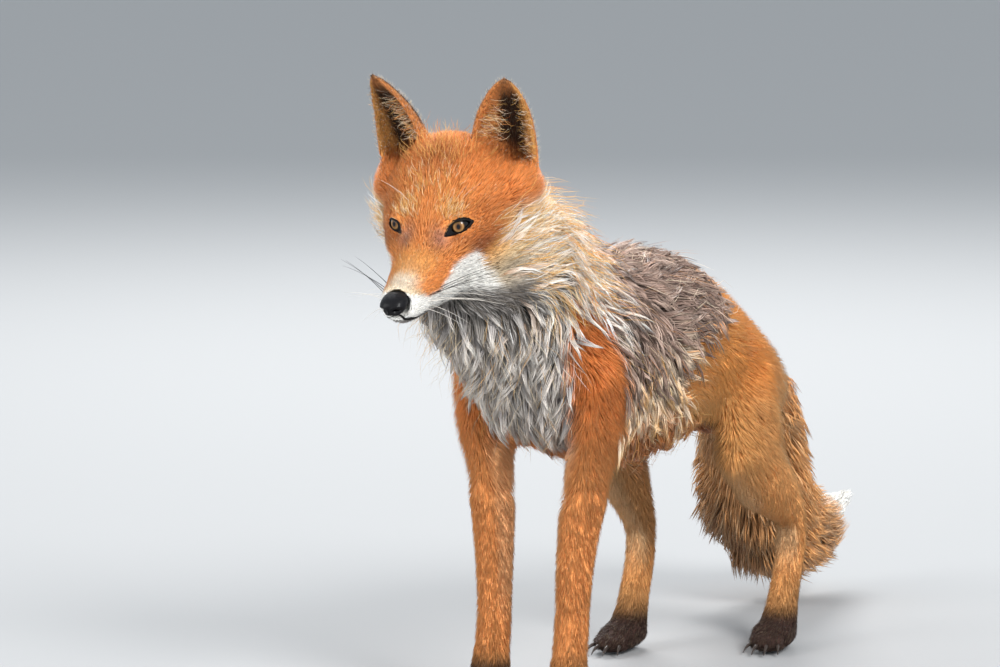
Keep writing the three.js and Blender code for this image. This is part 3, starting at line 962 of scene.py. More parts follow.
def blend(values, places):
    """Values per corner of the skin's triangles, at places on them."""
    tri, share = places
    return (values[tri] * share[:, :, None]).sum(1)


def rooted(s, places):
    """The roots of hairs, the vertices nearest to them and their places on the skin's unwrap."""
    tri, share = places
    return blend(s.skin[s.tris], places), s.tris[tri, share.argmax(1)], blend(s.tri_uv, places)


def locks(spine, root, guide_every, clump, curl, long):
    """Draws hairs together into pointed locks round every few of them, and waves each lock as one."""
    count = len(spine)
    guides = np.arange(0, count, guide_every)
    tree = KDTree(len(guides))
    for i, g in enumerate(guides):
        tree.insert(root[g], i)
    tree.balance()
    mine = guides[np.array([tree.find(r)[1] for r in root])]
    s = np.linspace(0, 1, spine.shape[1])
    pull = clump[:, None] * smooth(0.1, 1.0, s)
    spine = spine + (spine[mine] - spine) * pull[:, :, None]
    other = unit(np.cross(unit(spine[:, -1] - spine[:, 0]), unit(rng.normal(size=(1, 3)))))
    phase = rng.uniform(0, FULL_TURN, count)[mine] + 0.15 * rng.normal(size=count)
    wave = np.sin(phase[:, None] + s * 4.5) * s * (curl * long[mine] * 0.35)[:, None]
    return spine + other[:, None] * wave[:, :, None], mine


def tuft_mesh(name, spine, ways, wide, tint, uv):
    """Tapered three-sided hairs: `tint` is a colour per hair and ring, `uv` a place on the skin's unwrap."""
    count, rings = len(spine), spine.shape[1] - 1
    t = unit(np.gradient(spine, axis=1))
    side = unit(np.cross(t, ways))
    rise = np.cross(side, t)
    part = np.linspace(0, 1, rings + 1)[:rings]
    half = (wide[:, None] * ((0.75 + 0.5 * part) * (1 - part) ** 0.55) / 2)[..., None]
    body, edge, top = spine[:, :rings], side[:, :rings] * half, rise[:, :rings] * half
    ring = np.stack([body - edge, body + edge, body + top], 2)
    points = np.concatenate([ring.reshape(count, rings * 3, 3), spine[:, rings:]], 1)
    points[..., 2] = np.maximum(points[..., 2], ABOVE_FLOOR)
    points[..., 0] = np.clip(points[..., 0], CAD_BOX[0][0] - PAST_SIDES, CAD_BOX[1][0] + PAST_SIDES)
    faces = [(0, 1, 2)]
    for k in range(0, 3 * rings, 3):
        for a, b in ((k, k + 1), (k + 1, k + 2), (k + 2, k)):
            faces += [(a, b + 3, b), (a, a + 3, b + 3)] if k < 3 * (rings - 1) else [(a, 3 * rings, b)]
    each = rings * 3 + 1
    faces = (np.array(faces)[None] + (np.arange(count) * each)[:, None, None]).reshape(-1, 3)
    mesh = write(name, points.reshape(-1, 3), faces)
    mark(mesh, "pigment", np.concatenate([np.repeat(tint[:, :rings], 3, 1), tint[:, rings:]], 1).reshape(-1, 3))
    around = np.r_[np.tile([0, 1, 0.5], rings), 0.5]
    along = np.r_[np.repeat(part, 3), 1]
    strand = np.empty((count, each, 3))
    strand[..., 0], strand[..., 1], strand[..., 2] = around, along, rng.uniform(0, 1, count)[:, None]
    mark(mesh, "strand", strand.reshape(-1, 3))
    spots = uv[:, None] + np.stack([around, along], 1) * UV_PATCH - UV_PATCH / 2
    layer = mesh.uv_layers.new(name="OFBake")
    layer.data.foreach_set("uv", spots.reshape(-1, 2)[faces.ravel()].astype(np.float32).ravel())
    return mesh


# ------------------------------------------------------------------ node groups and materials
def hair_group():
    """Colour and height of hair from its pigment and its place in the tuft."""
    tree = bpy.data.node_groups.new("hair", "ShaderNodeTree")
    for name, way, kind in (("Pigment", "INPUT", "Color"), ("Strand", "INPUT", "Vector"),
                            ("Contrast", "INPUT", "Float"), ("Colour", "OUTPUT", "Color"),
                            ("Height", "OUTPUT", "Float")):
        tree.interface.new_socket(name, in_out=way, socket_type="NodeSocket" + kind)
    given = node(tree, "NodeGroupInput")
    stretch = node(tree, "VectorMath", operation="MULTIPLY", in_0=given["Strand"], in_1=(5.0, 1.3, 61.0))
    noise = node(tree, "TexNoise", in_Scale=1.6, in_Detail=2.0, in_Vector=stretch[0])
    spread = node(tree, "MapRange", in_0=noise[0], in_1=0.3, in_2=0.7, in_3=-1.0, in_4=1.0)
    amount = node(tree, "Math", operation="MULTIPLY_ADD", in_0=spread[0], in_1=given["Contrast"], in_2=1.0)
    tinted = node(tree, "Mix", data_type="RGBA", blend_type="MULTIPLY", in_0=1.0, in_6=given["Pigment"], in_7=amount[0])
    node(tree, "NodeGroupOutput", in_Colour=tinted[2], in_Height=noise[0])
    return tree


HAIR = hair_group()


def fur_material(name, contrast, bump_size, roughness, specular):
    made = material(name, roughness, specular)
    tree = made.node_tree
    pigment = node(tree, "Attribute", attribute_name="pigment")
    strand = node(tree, "Attribute", attribute_name="strand")
    hair = node(tree, "Group", node_tree=HAIR, in_Contrast=contrast, in_Pigment=pigment["Color"],
                in_Strand=strand["Vector"])
    height = node(tree, "Bump", in_Strength=0.5, in_Distance=bump_size, in_Height=hair["Height"])
    feed(made, Base_Color=hair["Colour"], Normal=height[0])
    return made


FUR = fur_material("fur", 0.2, 0.0004, 0.58, 0.3)
LONG_FUR = fur_material("long_fur", 0.38, 0.0006, 0.5, 0.4)
HIDE = fur_material("hide", 0.3, 0.0008, 0.8, 0.2)


# ------------------------------------------------------------------ putting it together
skin = make_skin()
skin.lie = lie_of_coat(skin)
inset = settle((skin.coat[:, [DEPTH]] * MM), skin.rows, skin.degree, 4)
skin.skin = settle(skin.outer - skin.out * inset, skin.rows, skin.degree, 2, 0.4)


def sink_sockets(s):
    """Sinks the skin behind each eyeball inside its lids."""
    for side in (1, -1):
        outline = lid_outline(side) * 0.93
        x, y, z = lid_plane(s.skin, side)
        here = inside(x, y, outline) & (z > -2) & (z < 25)
        over_ball = np.sqrt(np.maximum(EYE["radius"] ** 2 - x ** 2 - y ** 2, 0)) - 2.5
        deep = np.where(over_ball > 0, np.minimum(z, over_ball), z - 1.5)
        s.skin[here] -= eye_frame(side)[3] * ((z - deep)[here] * MM)[:, None]


fit_lids(skin)
front_tree = BVHTree.FromPolygons(skin.skin.tolist(), skin.quads.tolist())
sink_sockets(skin)
skin.tint = coat_colours(skin.outer, skin.out, skin.coat)


def skin_piece(s):
    mesh = write("skin", s.skin, s.quads)
    # Painted shade: the skin is darker under a deep coat, for the shade deep in the fur.
    mark(mesh, "pigment", s.tint * (1 - 0.45 * smooth(6, 16, s.coat[:, [DEPTH]])))
    mark(mesh, "strand", s.skin * [900, 900, 300])
    piece = place("skin", mesh, HIDE, "fur_orange", FLESH)
    bpy.context.view_layer.objects.active = piece
    piece.select_set(True)
    bpy.ops.object.mode_set(mode="EDIT")
    bpy.ops.mesh.select_all(action="SELECT")
    bpy.ops.uv.smart_project(angle_limit=math.radians(70), island_margin=0.002)
    bpy.ops.object.mode_set(mode="OBJECT")
    layer = mesh.uv_layers.active
    layer.name = "OFBake"
    s.tri_uv = halves(pulled(layer.data, "uv", 2).reshape(-1, 4, 2))


skin_piece(skin)


# For each region of the coat: the tufts' rings, how much their brightness varies, their brightness at the root and
# the tip (darker at the root as painted shade deep in the coat), the colour of some tips and how much of it they take.
LOOKS = {"head": (1, 0.12, 0.84, 1.08, "cream", 0.12), "ears": (2, 0.08, 0.85, 1.08, "cream", 0.10),
         "neck": (3, 0.12, 0.86, 1.24, "white", 0.35), "trunk": (3, 0.18, 0.40, 1.26, "buff", 0.18),
         "limbs": (1, 0.05, 0.92, 1.05, "cream", 0.12), "tail": (3, 0.11, 0.6, 1.1, "cream", 0.25)}
HAIRS_IN_LOCK = {"neck": 26, "trunk": 22, "tail": 14}
REGIONS = {"head": ("head",), "ears": ("ear",), "neck": ("neck",), "trunk": ("trunk",),
           "limbs": ("arm", "hind", "paw"), "tail": ("tail",)}
SLOTS = {"head": "fur_orange", "ears": "fur_dark", "neck": "fur_cream", "trunk": "fur_grey", "limbs": "fur_orange",
         "tail": "fur_brush"}


def on_skin(place, way):
    """Where a line through a place in the head's frame, from outside along `way`, meets the skin, and its way out."""
    start = head_place(*place) - head_way(*way) * 0.12
    spot, out, *_ = front_tree.ray_cast(Vector(start), Vector(head_way(*way)))
    return (np.array(spot), np.array(out)) if spot else (head_place(*place), -head_way(*way))


def lip_line(side):
    """The edge of the lips from the middle of the front to the corner of the mouth."""
    found = [on_skin((side * l, 70, u), (0, -1, 0)) for l, u in ((0, -39.5), (3.5, -39.6), (6.8, -40.2))]
    found += [on_skin((0, f, u), (-side, 0, 0)) for f, u in
              ((70, -41.2), (64, -42.4), (57, -43.4), (48, -45), (39, -46.6), (30, -47.6), (21, -47.5), (14, -46.5))]
    spots, outs = (np.array([pair[k] for pair in found]) for k in (0, 1))
    return through(spots, 40), unit(through(outs, 40))


LIPS = {side: lip_line(side) for side in (1, -1)}


def bare_places(s):
    """0 where no hair grows: inside the lids, on the lips and nose, and under the paws; 1 elsewhere."""
    hairy = np.ones(len(s.skin))
    for side in (1, -1):
        outline = lid_outline(side) * 1.03
        x, y, z = lid_plane(s.outer, side)
        hairy[inside(x, y, outline) & (z > -2) & (z < 30)] = 0
    l, f, u = in_head(s.outer)
    (l0, f0, u0), half = NOSE["place"], NOSE["half"]
    pad = ((l - l0) / half[0]) ** 2 + ((f - f0) / half[1]) ** 2 + ((u - u0) / half[2]) ** 2
    hairy[pad < 1.15] = 0
    near = np.where(s.coat[:, MASKS["head"]] > 0.5)[0]
    for spots, _ in LIPS.values():
        gap = np.sqrt(((s.skin[near, None] - spots[None]) ** 2).sum(2)).min(1)
        hairy[near] *= gap > 1.7 * MM
    hairy[(s.outer[:, 2] < 0.004) & (s.out[:, 2] < -0.3)] = 0
    return hairy


def coat_pieces(s):
    dense = s.coat[:, DENSE] * 1e4 * bare_places(s)
    area = areas(s)
    share = {r: np.minimum(sum(s.coat[:, MASKS[m]] for m in masks), 1) for r, masks in REGIONS.items()}
    wanted = {r: (area * (dense * share[r])[s.tris].mean(1)).sum() for r in REGIONS}
    faces = {r: 6 * LOOKS[r][0] - 2 for r in REGIONS}
    scale = min(COAT_TRIS / sum(wanted[r] * faces[r] for r in REGIONS), 1.2)
    for region in REGIONS:
        coat_region(s, region, dense * share[region], int(wanted[region] * scale), PIECE_TRIS // faces[region])


def coat_region(s, region, weight, count, limit):
    """Grows a region's tufts, and places them as pieces of no more than `limit` tufts each."""
    rings, vary, low, high, tip, tip_share = LOOKS[region]
    long_haired = rings > 2
    places = scatter(s, weight, count)
    root, at, uv = rooted(s, places)
    coat, tint = blend(s.coat[s.tris], places), blend(s.tint[s.tris], places)
    long = coat[:, LONG] * MM * rng.uniform(0.7, 1.2, count)
    lift = coat[:, LIFT] * rng.uniform(0.6, 1.08, count)
    sway = rng.normal(size=(count, 3)) * (0.13 if long_haired else 0.09)
    spine, ways = grow(s, root, at, long, rings, lift, sway)
    steps = np.linspace(0, 1, rings + 1)
    ending = coat[:, MASKS["tail"]] * smooth(-345, -385, in_body(root)[1])
    rise = (coat[:, DEPTH] * MM * lift)[:, None] * risen(steps) * (1 - 0.7 * steps)
    ahead = (unit(TAIL_TIP - root) * long[:, None])[:, None] * steps[:, None]
    straight = root[:, None] + s.out[at][:, None] * rise[..., None] + ahead
    spine = spine + (straight - spine) * ending[:, None, None]
    own = rng.normal(size=count)
    if region in HAIRS_IN_LOCK:
        clump = np.clip(coat[:, CLUMP] * rng.uniform(0.8, 1.15, count), 0, 0.97)
        spine, mine = locks(spine, root, HAIRS_IN_LOCK[region], clump, coat[:, CURL], long)
        own = 0.4 * own + 0.9 * own[mine]
    bright = np.clip(1 + vary * own, 0.6, 1.5)
    # Painted shade: each hair is darker towards its root, the more so in a long coat, for the shade deep in it.
    root_shade = low + (0.9 - low) * smooth(30, 15, coat[:, LONG]) * long_haired
    shade = root_shade[:, None] + (high - root_shade)[:, None] * steps ** (1.4 if long_haired else 0.8)
    pale = np.clip(rng.normal(size=count), 0, 2) * tip_share
    tint = tint[:, None] * bright[:, None, None] * shade[..., None]
    tint = mix(tint, PALETTE[tip], np.minimum(pale[:, None] * steps, 0.8))
    wide = coat[:, WIDE] * MM * rng.uniform(0.7, 1.3, count)
    parts = np.array_split(np.arange(count), -(-count // limit))
    for number, part in enumerate(parts, 1):
        name = "coat_" + region + ("_%d" % number if len(parts) > 1 else "")
        mesh = tuft_mesh(name, spine[part], ways[part], wide[part], tint[part], uv[part])
        place(name, mesh, LONG_FUR if long_haired else FUR, SLOTS[region])


coat_pieces(skin)


def wisps(name, weight, count, long, wide, paints, slot, stand=0.5, curl=0.2, way=None, lift=0.0, rings=3):
    """Long loose hairs. `stand` is how far they rise, `way` their way per vertex of the skin where it isn't the
    coat's lie, and with a `lift` they follow the body at that share of the coat's depth."""
    s, paints = skin, np.array([PALETTE[q] for q in paints.split()])
    root, at, uv = rooted(s, scatter(s, weight, count))
    n = s.out[at]
    length = long * MM * rng.uniform(0.55, 1.2, count)
    far = length[:, None, None]
    t = np.linspace(0, 1, rings + 1)[None, :, None]
    sway = rng.normal(size=(count, 3)) * 0.2
    if lift:
        spine, ways = grow(s, root, at, length, rings, lift * rng.uniform(0.85, 1.1, count), sway)
        spine = spine + n[:, None] * far * stand * t ** 2
    else:
        lie = s.lie[at] if way is None else unit(way[at])
        step = unit(lie[:, None] * (0.3 + t) + n[:, None] * stand * (1.25 - t) + sway[:, None]) * (far / rings)
        spine = root[:, None] + np.concatenate([0 * step[:, :1], np.cumsum(step[:, :-1], 1)], 1)
        ways = np.repeat(n[:, None], rings + 1, 1)
    across = unit(np.cross(unit(spine[:, -1] - spine[:, 0]), n))
    phase = rng.uniform(0, FULL_TURN, count)[:, None, None]
    spine = spine + across[:, None] * (np.sin(phase + 4.5 * t) - np.sin(phase)) * t * curl * far
    pick = rng.integers(len(paints), size=count)
    # Each hair is darker towards its root: painted shade deep in the coat.
    tint = paints[pick][:, None] * (0.75 + 0.35 * t) * rng.uniform(0.85, 1.1, (count, 1, 1))
    mesh = tuft_mesh(name, spine, ways, wide * MM * rng.uniform(0.75, 1.2, count), np.minimum(tint, 0.95), uv)
    place(name, mesh, FUR, slot)


def locks_apart(s, weight, gap):
    """Places on the skin, by a weight per vertex, that keep a distance from each other."""
    places = scatter(s, weight, LOCK_TRIES)
    kept, grid = [], {}
    for i, p in enumerate(blend(s.skin[s.tris], places)):
        cell = tuple(np.floor(p / gap).astype(int))
        near = (q for x in (-1, 0, 1) for y in (-1, 0, 1) for z in (-1, 0, 1)
                for q in grid.get((cell[0] + x, cell[1] + y, cell[2] + z), ()))
        if all(((q - p) ** 2).sum() > gap * gap for q in near):
            kept.append(i)
            grid.setdefault(cell, []).append(p)
    return tuple(values[kept] for values in places)


def flames(name, weight, gap, long, broad, hairs, paints, slot, lift=1.0, hook=0.25, stand=0.1, dull=0.0, rings=4):
    """Wet locks: each a fan of hairs that draws together into one hooked point. `paints` are the colours of the
    root, the middle and the tip, the dark root partly the hairs' own and partly painted shade between the locks;
    some locks stay as dull as the root, by up to `dull`."""
    s = skin
    root, at, uv = rooted(s, locks_apart(s, weight, gap * MM))
    count = len(root)
    total = count * hairs
    length = long * MM * rng.uniform(0.75, 1.2, count)
    lifts, sway = lift * rng.uniform(0.8, 1.15, count), rng.normal(size=(count, 3)) * 0.14
    spine, ways = grow(s, root, at, length, rings, lifts, sway)
    n = s.out[at]
    t = np.linspace(0, 1, rings + 1)
    across = unit(np.cross(unit(spine[:, -1] - spine[:, 0]), n))
    turn = rng.choice([-1, 1], count) * rng.uniform(0.3, 1.0, count) * hook
    bend = np.sin(t * 4.2 + rng.uniform(0, FULL_TURN, (count, 1))) * 0.05 + turn[:, None] * t ** 2.5
    spine = spine + across[:, None] * (bend * length[:, None])[..., None]
    spine = spine + n[:, None] * (stand * length[:, None] * t ** 2.5)[..., None]
    x = np.linspace(-1, 1, hairs) + rng.normal(size=(count, hairs)) * 0.1
    half = (broad * MM * rng.uniform(0.75, 1.25, count))[:, None, None]
    width = half * x[:, :, None] * (1 - smooth(0.25, 1.0, t))
    drop = -0.3 * abs(width) - 0.0004 * rng.uniform(size=(count, hairs, 1))
    slide = rng.uniform(-0.12, 0.04, (count, hairs, 1, 1)) * (spine[:, 1:2] - spine[:, :1])[:, None] * 3
    fan = spine[:, None] + across[:, None, None] * width[..., None] + n[:, None, None] * drop[..., None] + slide
    own = 1 + 0.12 * rng.normal(size=(count, 1, 1, 1)) + 0.06 * rng.normal(size=(count, hairs, 1, 1))
    low, middle, tip = (PALETTE[q] for q in paints.split())
    tint = mix(mix(low[None], middle, smooth(0.0, 0.55, t)), tip, smooth(0.5, 0.95, t))[None, None] * own
    tint = np.clip(mix(tint, low, dull * rng.uniform(size=(count, 1, 1))), 0, 0.97)
    wide = 4.56 * broad / hairs * MM * rng.uniform(0.8, 1.2, total)
    fan, tint = fan.reshape(total, rings + 1, 3), tint.reshape(total, rings + 1, 3)
    mesh = tuft_mesh(name, fan, np.repeat(ways, hairs, 0), wide, tint, np.repeat(uv, hairs, 0))
    place(name, mesh, LONG_FUR, slot)


def all_flames(s):
    hairy = bare_places(s) * (1 - shoulder_patch(s.outer))
    left, f, u = in_body(s.outer)
    across, ahead, up = in_head(s.outer)
    head, neck, trunk = (s.coat[:, MASKS[m]] * hairy for m in ("head", "neck", "trunk"))
    front = smooth(0.0, 0.35, -s.out[:, 1])
    chest = (neck + trunk) * front * smooth(215, 232, f) * smooth(50, 40, abs(left))
    flames("locks_chest", chest * smooth(338, 318, u) * smooth(236, 250, u), 8.0, 36, 3.3, 13, "shade ash pearl",
           "fur_grey", lift=1.1, hook=0.32)
    ruff = (head + neck) * smooth(26, 38, abs(across)) * smooth(-6, -20, ahead) * smooth(-105, -85, ahead)
    flames("locks_ruff", ruff * smooth(-12, -28, up) * smooth(-105, -80, up), 7.5, 44, 2.0, 8, "tan pearl white",
           "fur_cream", lift=1.1, hook=0.3, stand=0.06, dull=0.4)
    back = trunk * (1 - front) * smooth(235, 215, f) * smooth(-10, 15, f)
    flames("locks_back", back * smooth(262, 285, u), 8.5, 36, 2.8, 8, "umber back dust", "fur_grey", hook=0.5,
           stand=0.02, dull=0.95)
    flames("locks_flank", back * smooth(290, 265, u) * smooth(222, 238, u), 9.5, 42, 2.4, 7, "brown buff yellow",
           "fur_cream", hook=0.35, stand=0.03, dull=0.2)


all_flames(skin)


def all_wisps(s):
    hairy = bare_places(s) * (1 - shoulder_patch(s.outer))
    left, f, u = in_head(s.outer)
    a = abs(left)
    head, ear, neck, trunk = (s.coat[:, MASKS[m]] * hairy for m in ("head", "ear", "neck", "trunk"))
    cup = ear_inside(s.outer, s.out)
    up, across = ear_places(s.outer)
    rise, mouth, outward = (np.where(left[:, None] > 0, ear_frame(1)[k], ear_frame(-1)[k]) for k in (1, 2, 3))
    _, b_f, b_u = in_body(s.outer)
    ahead = -s.out[:, 1]
    top = smooth(0.1, 0.5, s.out[:, 2])
    wisps("wisps_crown", head * bump(f + 42, 13) * bump(a, 26) * smooth(30, 42, u), 300, 15, 0.36,
          "yellow orange yellow orange", "fur_cream", stand=1.3, curl=0.16)
    wisps("wisps_forehead", head * bump(f + 14, 14) * bump(a - 8, 14) * smooth(14, 26, u), 150, 12, 0.36,
          "cream yellow yellow", "fur_cream", stand=0.45, curl=0.12)
    wisps("wisps_brows", head * bump(f - 4, 9) * bump(a - 24, 11) * bump(u - 19, 6), 380, 9, 0.38,
          "cream yellow yellow", "fur_cream", stand=0.3, curl=0.1)
    wisps("wisps_face", head * smooth(-26, -18, u), 2400, 4.0, 0.22, "cream yellow orange", "fur_cream", stand=0.7,
          curl=0.05, rings=2)
    ruff = (head + neck) * smooth(32, 44, a) * smooth(-8, -30, f) * smooth(-105, -80, f)
    wisps("wisps_ruff", ruff * smooth(4, -14, u) * smooth(-90, -50, u), 1900, 32, 0.45,
          "cream white cream yellow yellow", "fur_cream", stand=0.22, curl=0.12, lift=1.1, rings=4)
    mane = (neck + trunk) * smooth(205, 222, b_f) * smooth(268, 250, b_f)
    wisps("wisps_mane", mane * smooth(318, 345, b_u) * smooth(0.5, 0.0, ahead), 460, 48, 0.62,
          "yellow orange yellow", "fur_orange", stand=0.26, curl=0.34, lift=1.1, rings=4)
    wisps("wisps_chest", (neck + trunk) * smooth(0.0, 0.4, ahead) * smooth(225, 245, b_u) * smooth(335, 320, b_u),
          150, 34, 0.36, "yellow cream buff", "fur_cream", stand=0.55, curl=0.3, lift=1.1, rings=4)
    wisps("wisps_throat", (neck + trunk) * smooth(0.0, 0.5, ahead) * smooth(225, 250, b_u), 90, 34, 0.36,
          "cream white cream grey", "fur_grey", stand=0.2, curl=0.2, lift=1.05, rings=4)
    wisps("wisps_back", trunk * top * smooth(255, 225, b_f), 320, 44, 0.5, "umber back tan buff", "fur_grey",
          stand=0.1, curl=0.3, lift=1.05, rings=4)
    wisps("wisps_flank", trunk * (1 - top) * smooth(225, 195, b_f), 520, 46, 0.45, "brown orange yellow cream",
          "fur_orange", stand=0.1, curl=0.24, lift=1.05, rings=4)
    fringe = ear * cup * smooth(-0.98, -0.8, across) * smooth(0.0, -0.3, across)
    wisps("wisps_ear_fringe", fringe * smooth(0.8, 0.6, up) * smooth(-0.15, 0.05, up), 340, 14, 0.4,
          "cream yellow buff orange orange", "fur_cream", stand=0.5, curl=0.26,
          way=outward * 0.9 + rise * 0.35 + mouth * 0.25, rings=4)
    wisps("wisps_ear_edge", ear * cup * smooth(0.5, 0.7, across) * smooth(0.9, 0.75, up) * smooth(-0.1, 0.1, up),
          420, 7, 0.4, "buff yellow", "fur_cream", stand=0.5, curl=0.15,
          way=rise * 0.6 - outward * 0.6 + mouth * 0.3)
    wisps("wisps_ear_rim", ear * (1 - cup) * smooth(0.0, 0.2, up), 2600, 4.5, 0.28, "grey slate cream grey",
          "fur_grey", stand=0.9, curl=0.05, rings=2)


all_wisps(skin)


# ------------------------------------------------------------------ eyes and lids
POLES = np.array([[0, 0, 1.0], [0, 0, -1.0]])


def eyeball(side):
    """A ball whose clear front bulges, with its iris and slit pupil coloured by the way from its centre."""
    middle, *_ = eye_frame(side)
    gaze = head_way(*on_side(side, EYE["gaze"]))
    across = unit(np.cross(gaze, HEAD_AXES @ np.array([0, 0, 1.0])))
    axes = np.stack([across, np.cross(across, gaze), gaze])

    def shaped(ways):
        return middle + (ways * EYE["radius"] * (1 + 0.03 * smooth(0.72, 0.98, ways[..., 2:])) * MM) @ axes

    ball = globe(np.linspace(0, math.pi, 49)[1:-1], 72)
    mesh = write("eye", *closed(shaped(ball), shaped(POLES)))
    mark(mesh, "way", np.concatenate([ball.reshape(-1, 3), POLES]))
    return mesh


# The iris from its middle out: how far from it, where the ball's radius is 1, and its colour.
IRIS = [(0.0, "#2c1a0e"), (0.24, "#6f4a28"), (0.38, "#a27a4a"), (0.45, "#5e3f22"), (0.51, "#1a110b"), (0.57, "#0b0908")]


def eye_material():
    made = material("eye", 0.2, 0.15, Coat_Weight=0.3, Coat_Roughness=0.03)
    tree = made.node_tree
    way = node(tree, "Attribute", attribute_name="way")["Vector"]
    parts = node(tree, "SeparateXYZ", in_0=way)
    flat = node(tree, "CombineXYZ", in_0=parts[0], in_1=parts[1])
    away = node(tree, "VectorMath", operation="LENGTH", in_0=flat[0])
    rays = node(tree, "TexNoise", in_Scale=14.0, in_Detail=3.0, in_Vector=way)
    jitter = node(tree, "Math", operation="MULTIPLY_ADD", in_0=rays[0], in_1=0.10, in_2=away["Value"])
    shifted = node(tree, "Math", operation="SUBTRACT", in_0=jitter[0], in_1=0.05)
    iris = node(tree, "ValToRGB", in_0=shifted[0])
    stops = iris[0].node.color_ramp.elements
    stops[1].position = IRIS[-1][0]
    for position, _ in IRIS[1:-1]:
        stops.new(position)
    for stop, (_, text) in zip(stops, IRIS):
        stop.color = (*colour(text), 1)
    slit = node(tree, "VectorMath", operation="MULTIPLY", in_0=way, in_1=(1.0, 0.72, 0.0))
    pupil = node(tree, "VectorMath", operation="LENGTH", in_0=slit[0])
    hole = node(tree, "MapRange", in_0=pupil["Value"], in_1=0.12, in_2=0.19)
    dark = node(tree, "Mix", data_type="RGBA", in_0=hole[0], in_6=(0.004, 0.004, 0.005, 1), in_7=iris[0])
    ahead = node(tree, "Math", operation="GREATER_THAN", in_0=parts[2], in_1=0.0)
    front = node(tree, "Mix", data_type="RGBA", in_0=ahead[0], in_6=(0.02, 0.015, 0.012, 1), in_7=dark[2])
    shadow = node(tree, "MapRange", in_0=parts[1], in_1=0.42, in_2=0.12, in_3=0.16, in_4=1.0)
    shaded = node(tree, "VectorMath", operation="SCALE", in_0=front[2], in_Scale=shadow[0])
    feed(made, Base_Color=shaded[0])
    return made


def dark_skin_material(name, base, pebble, roughness, coat):
    """Bare skin or horn with fine pebbles, for the nose, the lids, the lips, the claws and the whiskers."""
    made = material(name, roughness, 0.12, Coat_Weight=coat, Coat_Roughness=0.15)
    tree = made.node_tree
    where = node(tree, "TexCoord")["Object"]
    cells = node(tree, "TexVoronoi", in_Scale=pebble, in_Vector=where)
    cloud = node(tree, "TexNoise", in_Scale=260.0, in_Detail=3.0, in_Vector=where)
    tone = node(tree, "Mix", data_type="RGBA", in_0=cloud[0], in_6=(*colour(base), 1), in_7=(*(colour(base) * 2.2), 1))
    height = node(tree, "Bump", in_Strength=0.35, in_Distance=0.0004, in_Height=cells[0])
    feed(made, Base_Color=tone[2], Normal=height[0])
    return made


EYE_PAINT = eye_material()
NOSE_PAINT = dark_skin_material("nose", "#070608", 900.0, 0.48, 0.08)
RIM_PAINT = dark_skin_material("rim", "#070505", 1200.0, 0.5, 0.05)


# Across a lid's margin: how far from the lids' edge on the skin to that on the ball, and how proud it stands.
LID_ROLL = ((-0.3, -1.6), (-0.1, -0.1), (0.05, 0.35), (0.35, 0.6), (0.7, 0.65), (0.93, 0.6), (1.0, 0.25))


def lids(side):
    """The lids' black margins: a band that rolls from under the hair over onto the ball."""
    middle, across, rise, out = eye_frame(side)
    skin_edge, ball_edge = lid_outline(side, 0, 72), lid_outline(side, 1, 72)
    away = unit(skin_edge - skin_edge.mean(0))
    rings = []
    for t, proud in LID_ROLL:
        flat = skin_edge * (1 - t) + ball_edge * t if t > 0 else skin_edge - away * t * 4
        high = []
        for x, y in flat:
            p = middle + (across * x + rise * y) * MM
            hit = front_tree.ray_cast(Vector(p + out * 0.05), Vector(-out))[0]
            high.append(dot(np.array(hit) - middle, out) / MM if hit else 7.0)
        rings.append((flat, settle_ring(np.array(high), 4) + proud))
    ball_high = np.sqrt(np.maximum(EYE["radius"] ** 2 - (ball_edge ** 2).sum(1), 9))
    rings.append((ball_edge * 0.99, ball_high - 0.8))
    points = np.array([middle + (flat[:, :1] * across + flat[:, 1:] * rise + up[:, None] * out) * MM
                       for flat, up in rings])
    quads = band(len(rings), len(skin_edge))
    return write("lids", points.reshape(-1, 3), quads if side > 0 else quads[:, ::-1])


def settle_ring(values, rounds):
    for _ in range(rounds):
        values = (np.roll(values, 1) + 2 * values + np.roll(values, -1)) / 4
    return values


for side, word in ((1, "left"), (-1, "right")):
    place("eyeball_" + word, eyeball(side), EYE_PAINT, "eye", ["eye_" + word])
    place("lids_" + word, lids(side), RIM_PAINT, "nose")


# ------------------------------------------------------------------ nose and lips
NOSE_TILT = math.radians(-6)
SQUARE = 2.4  # 2 would make it round


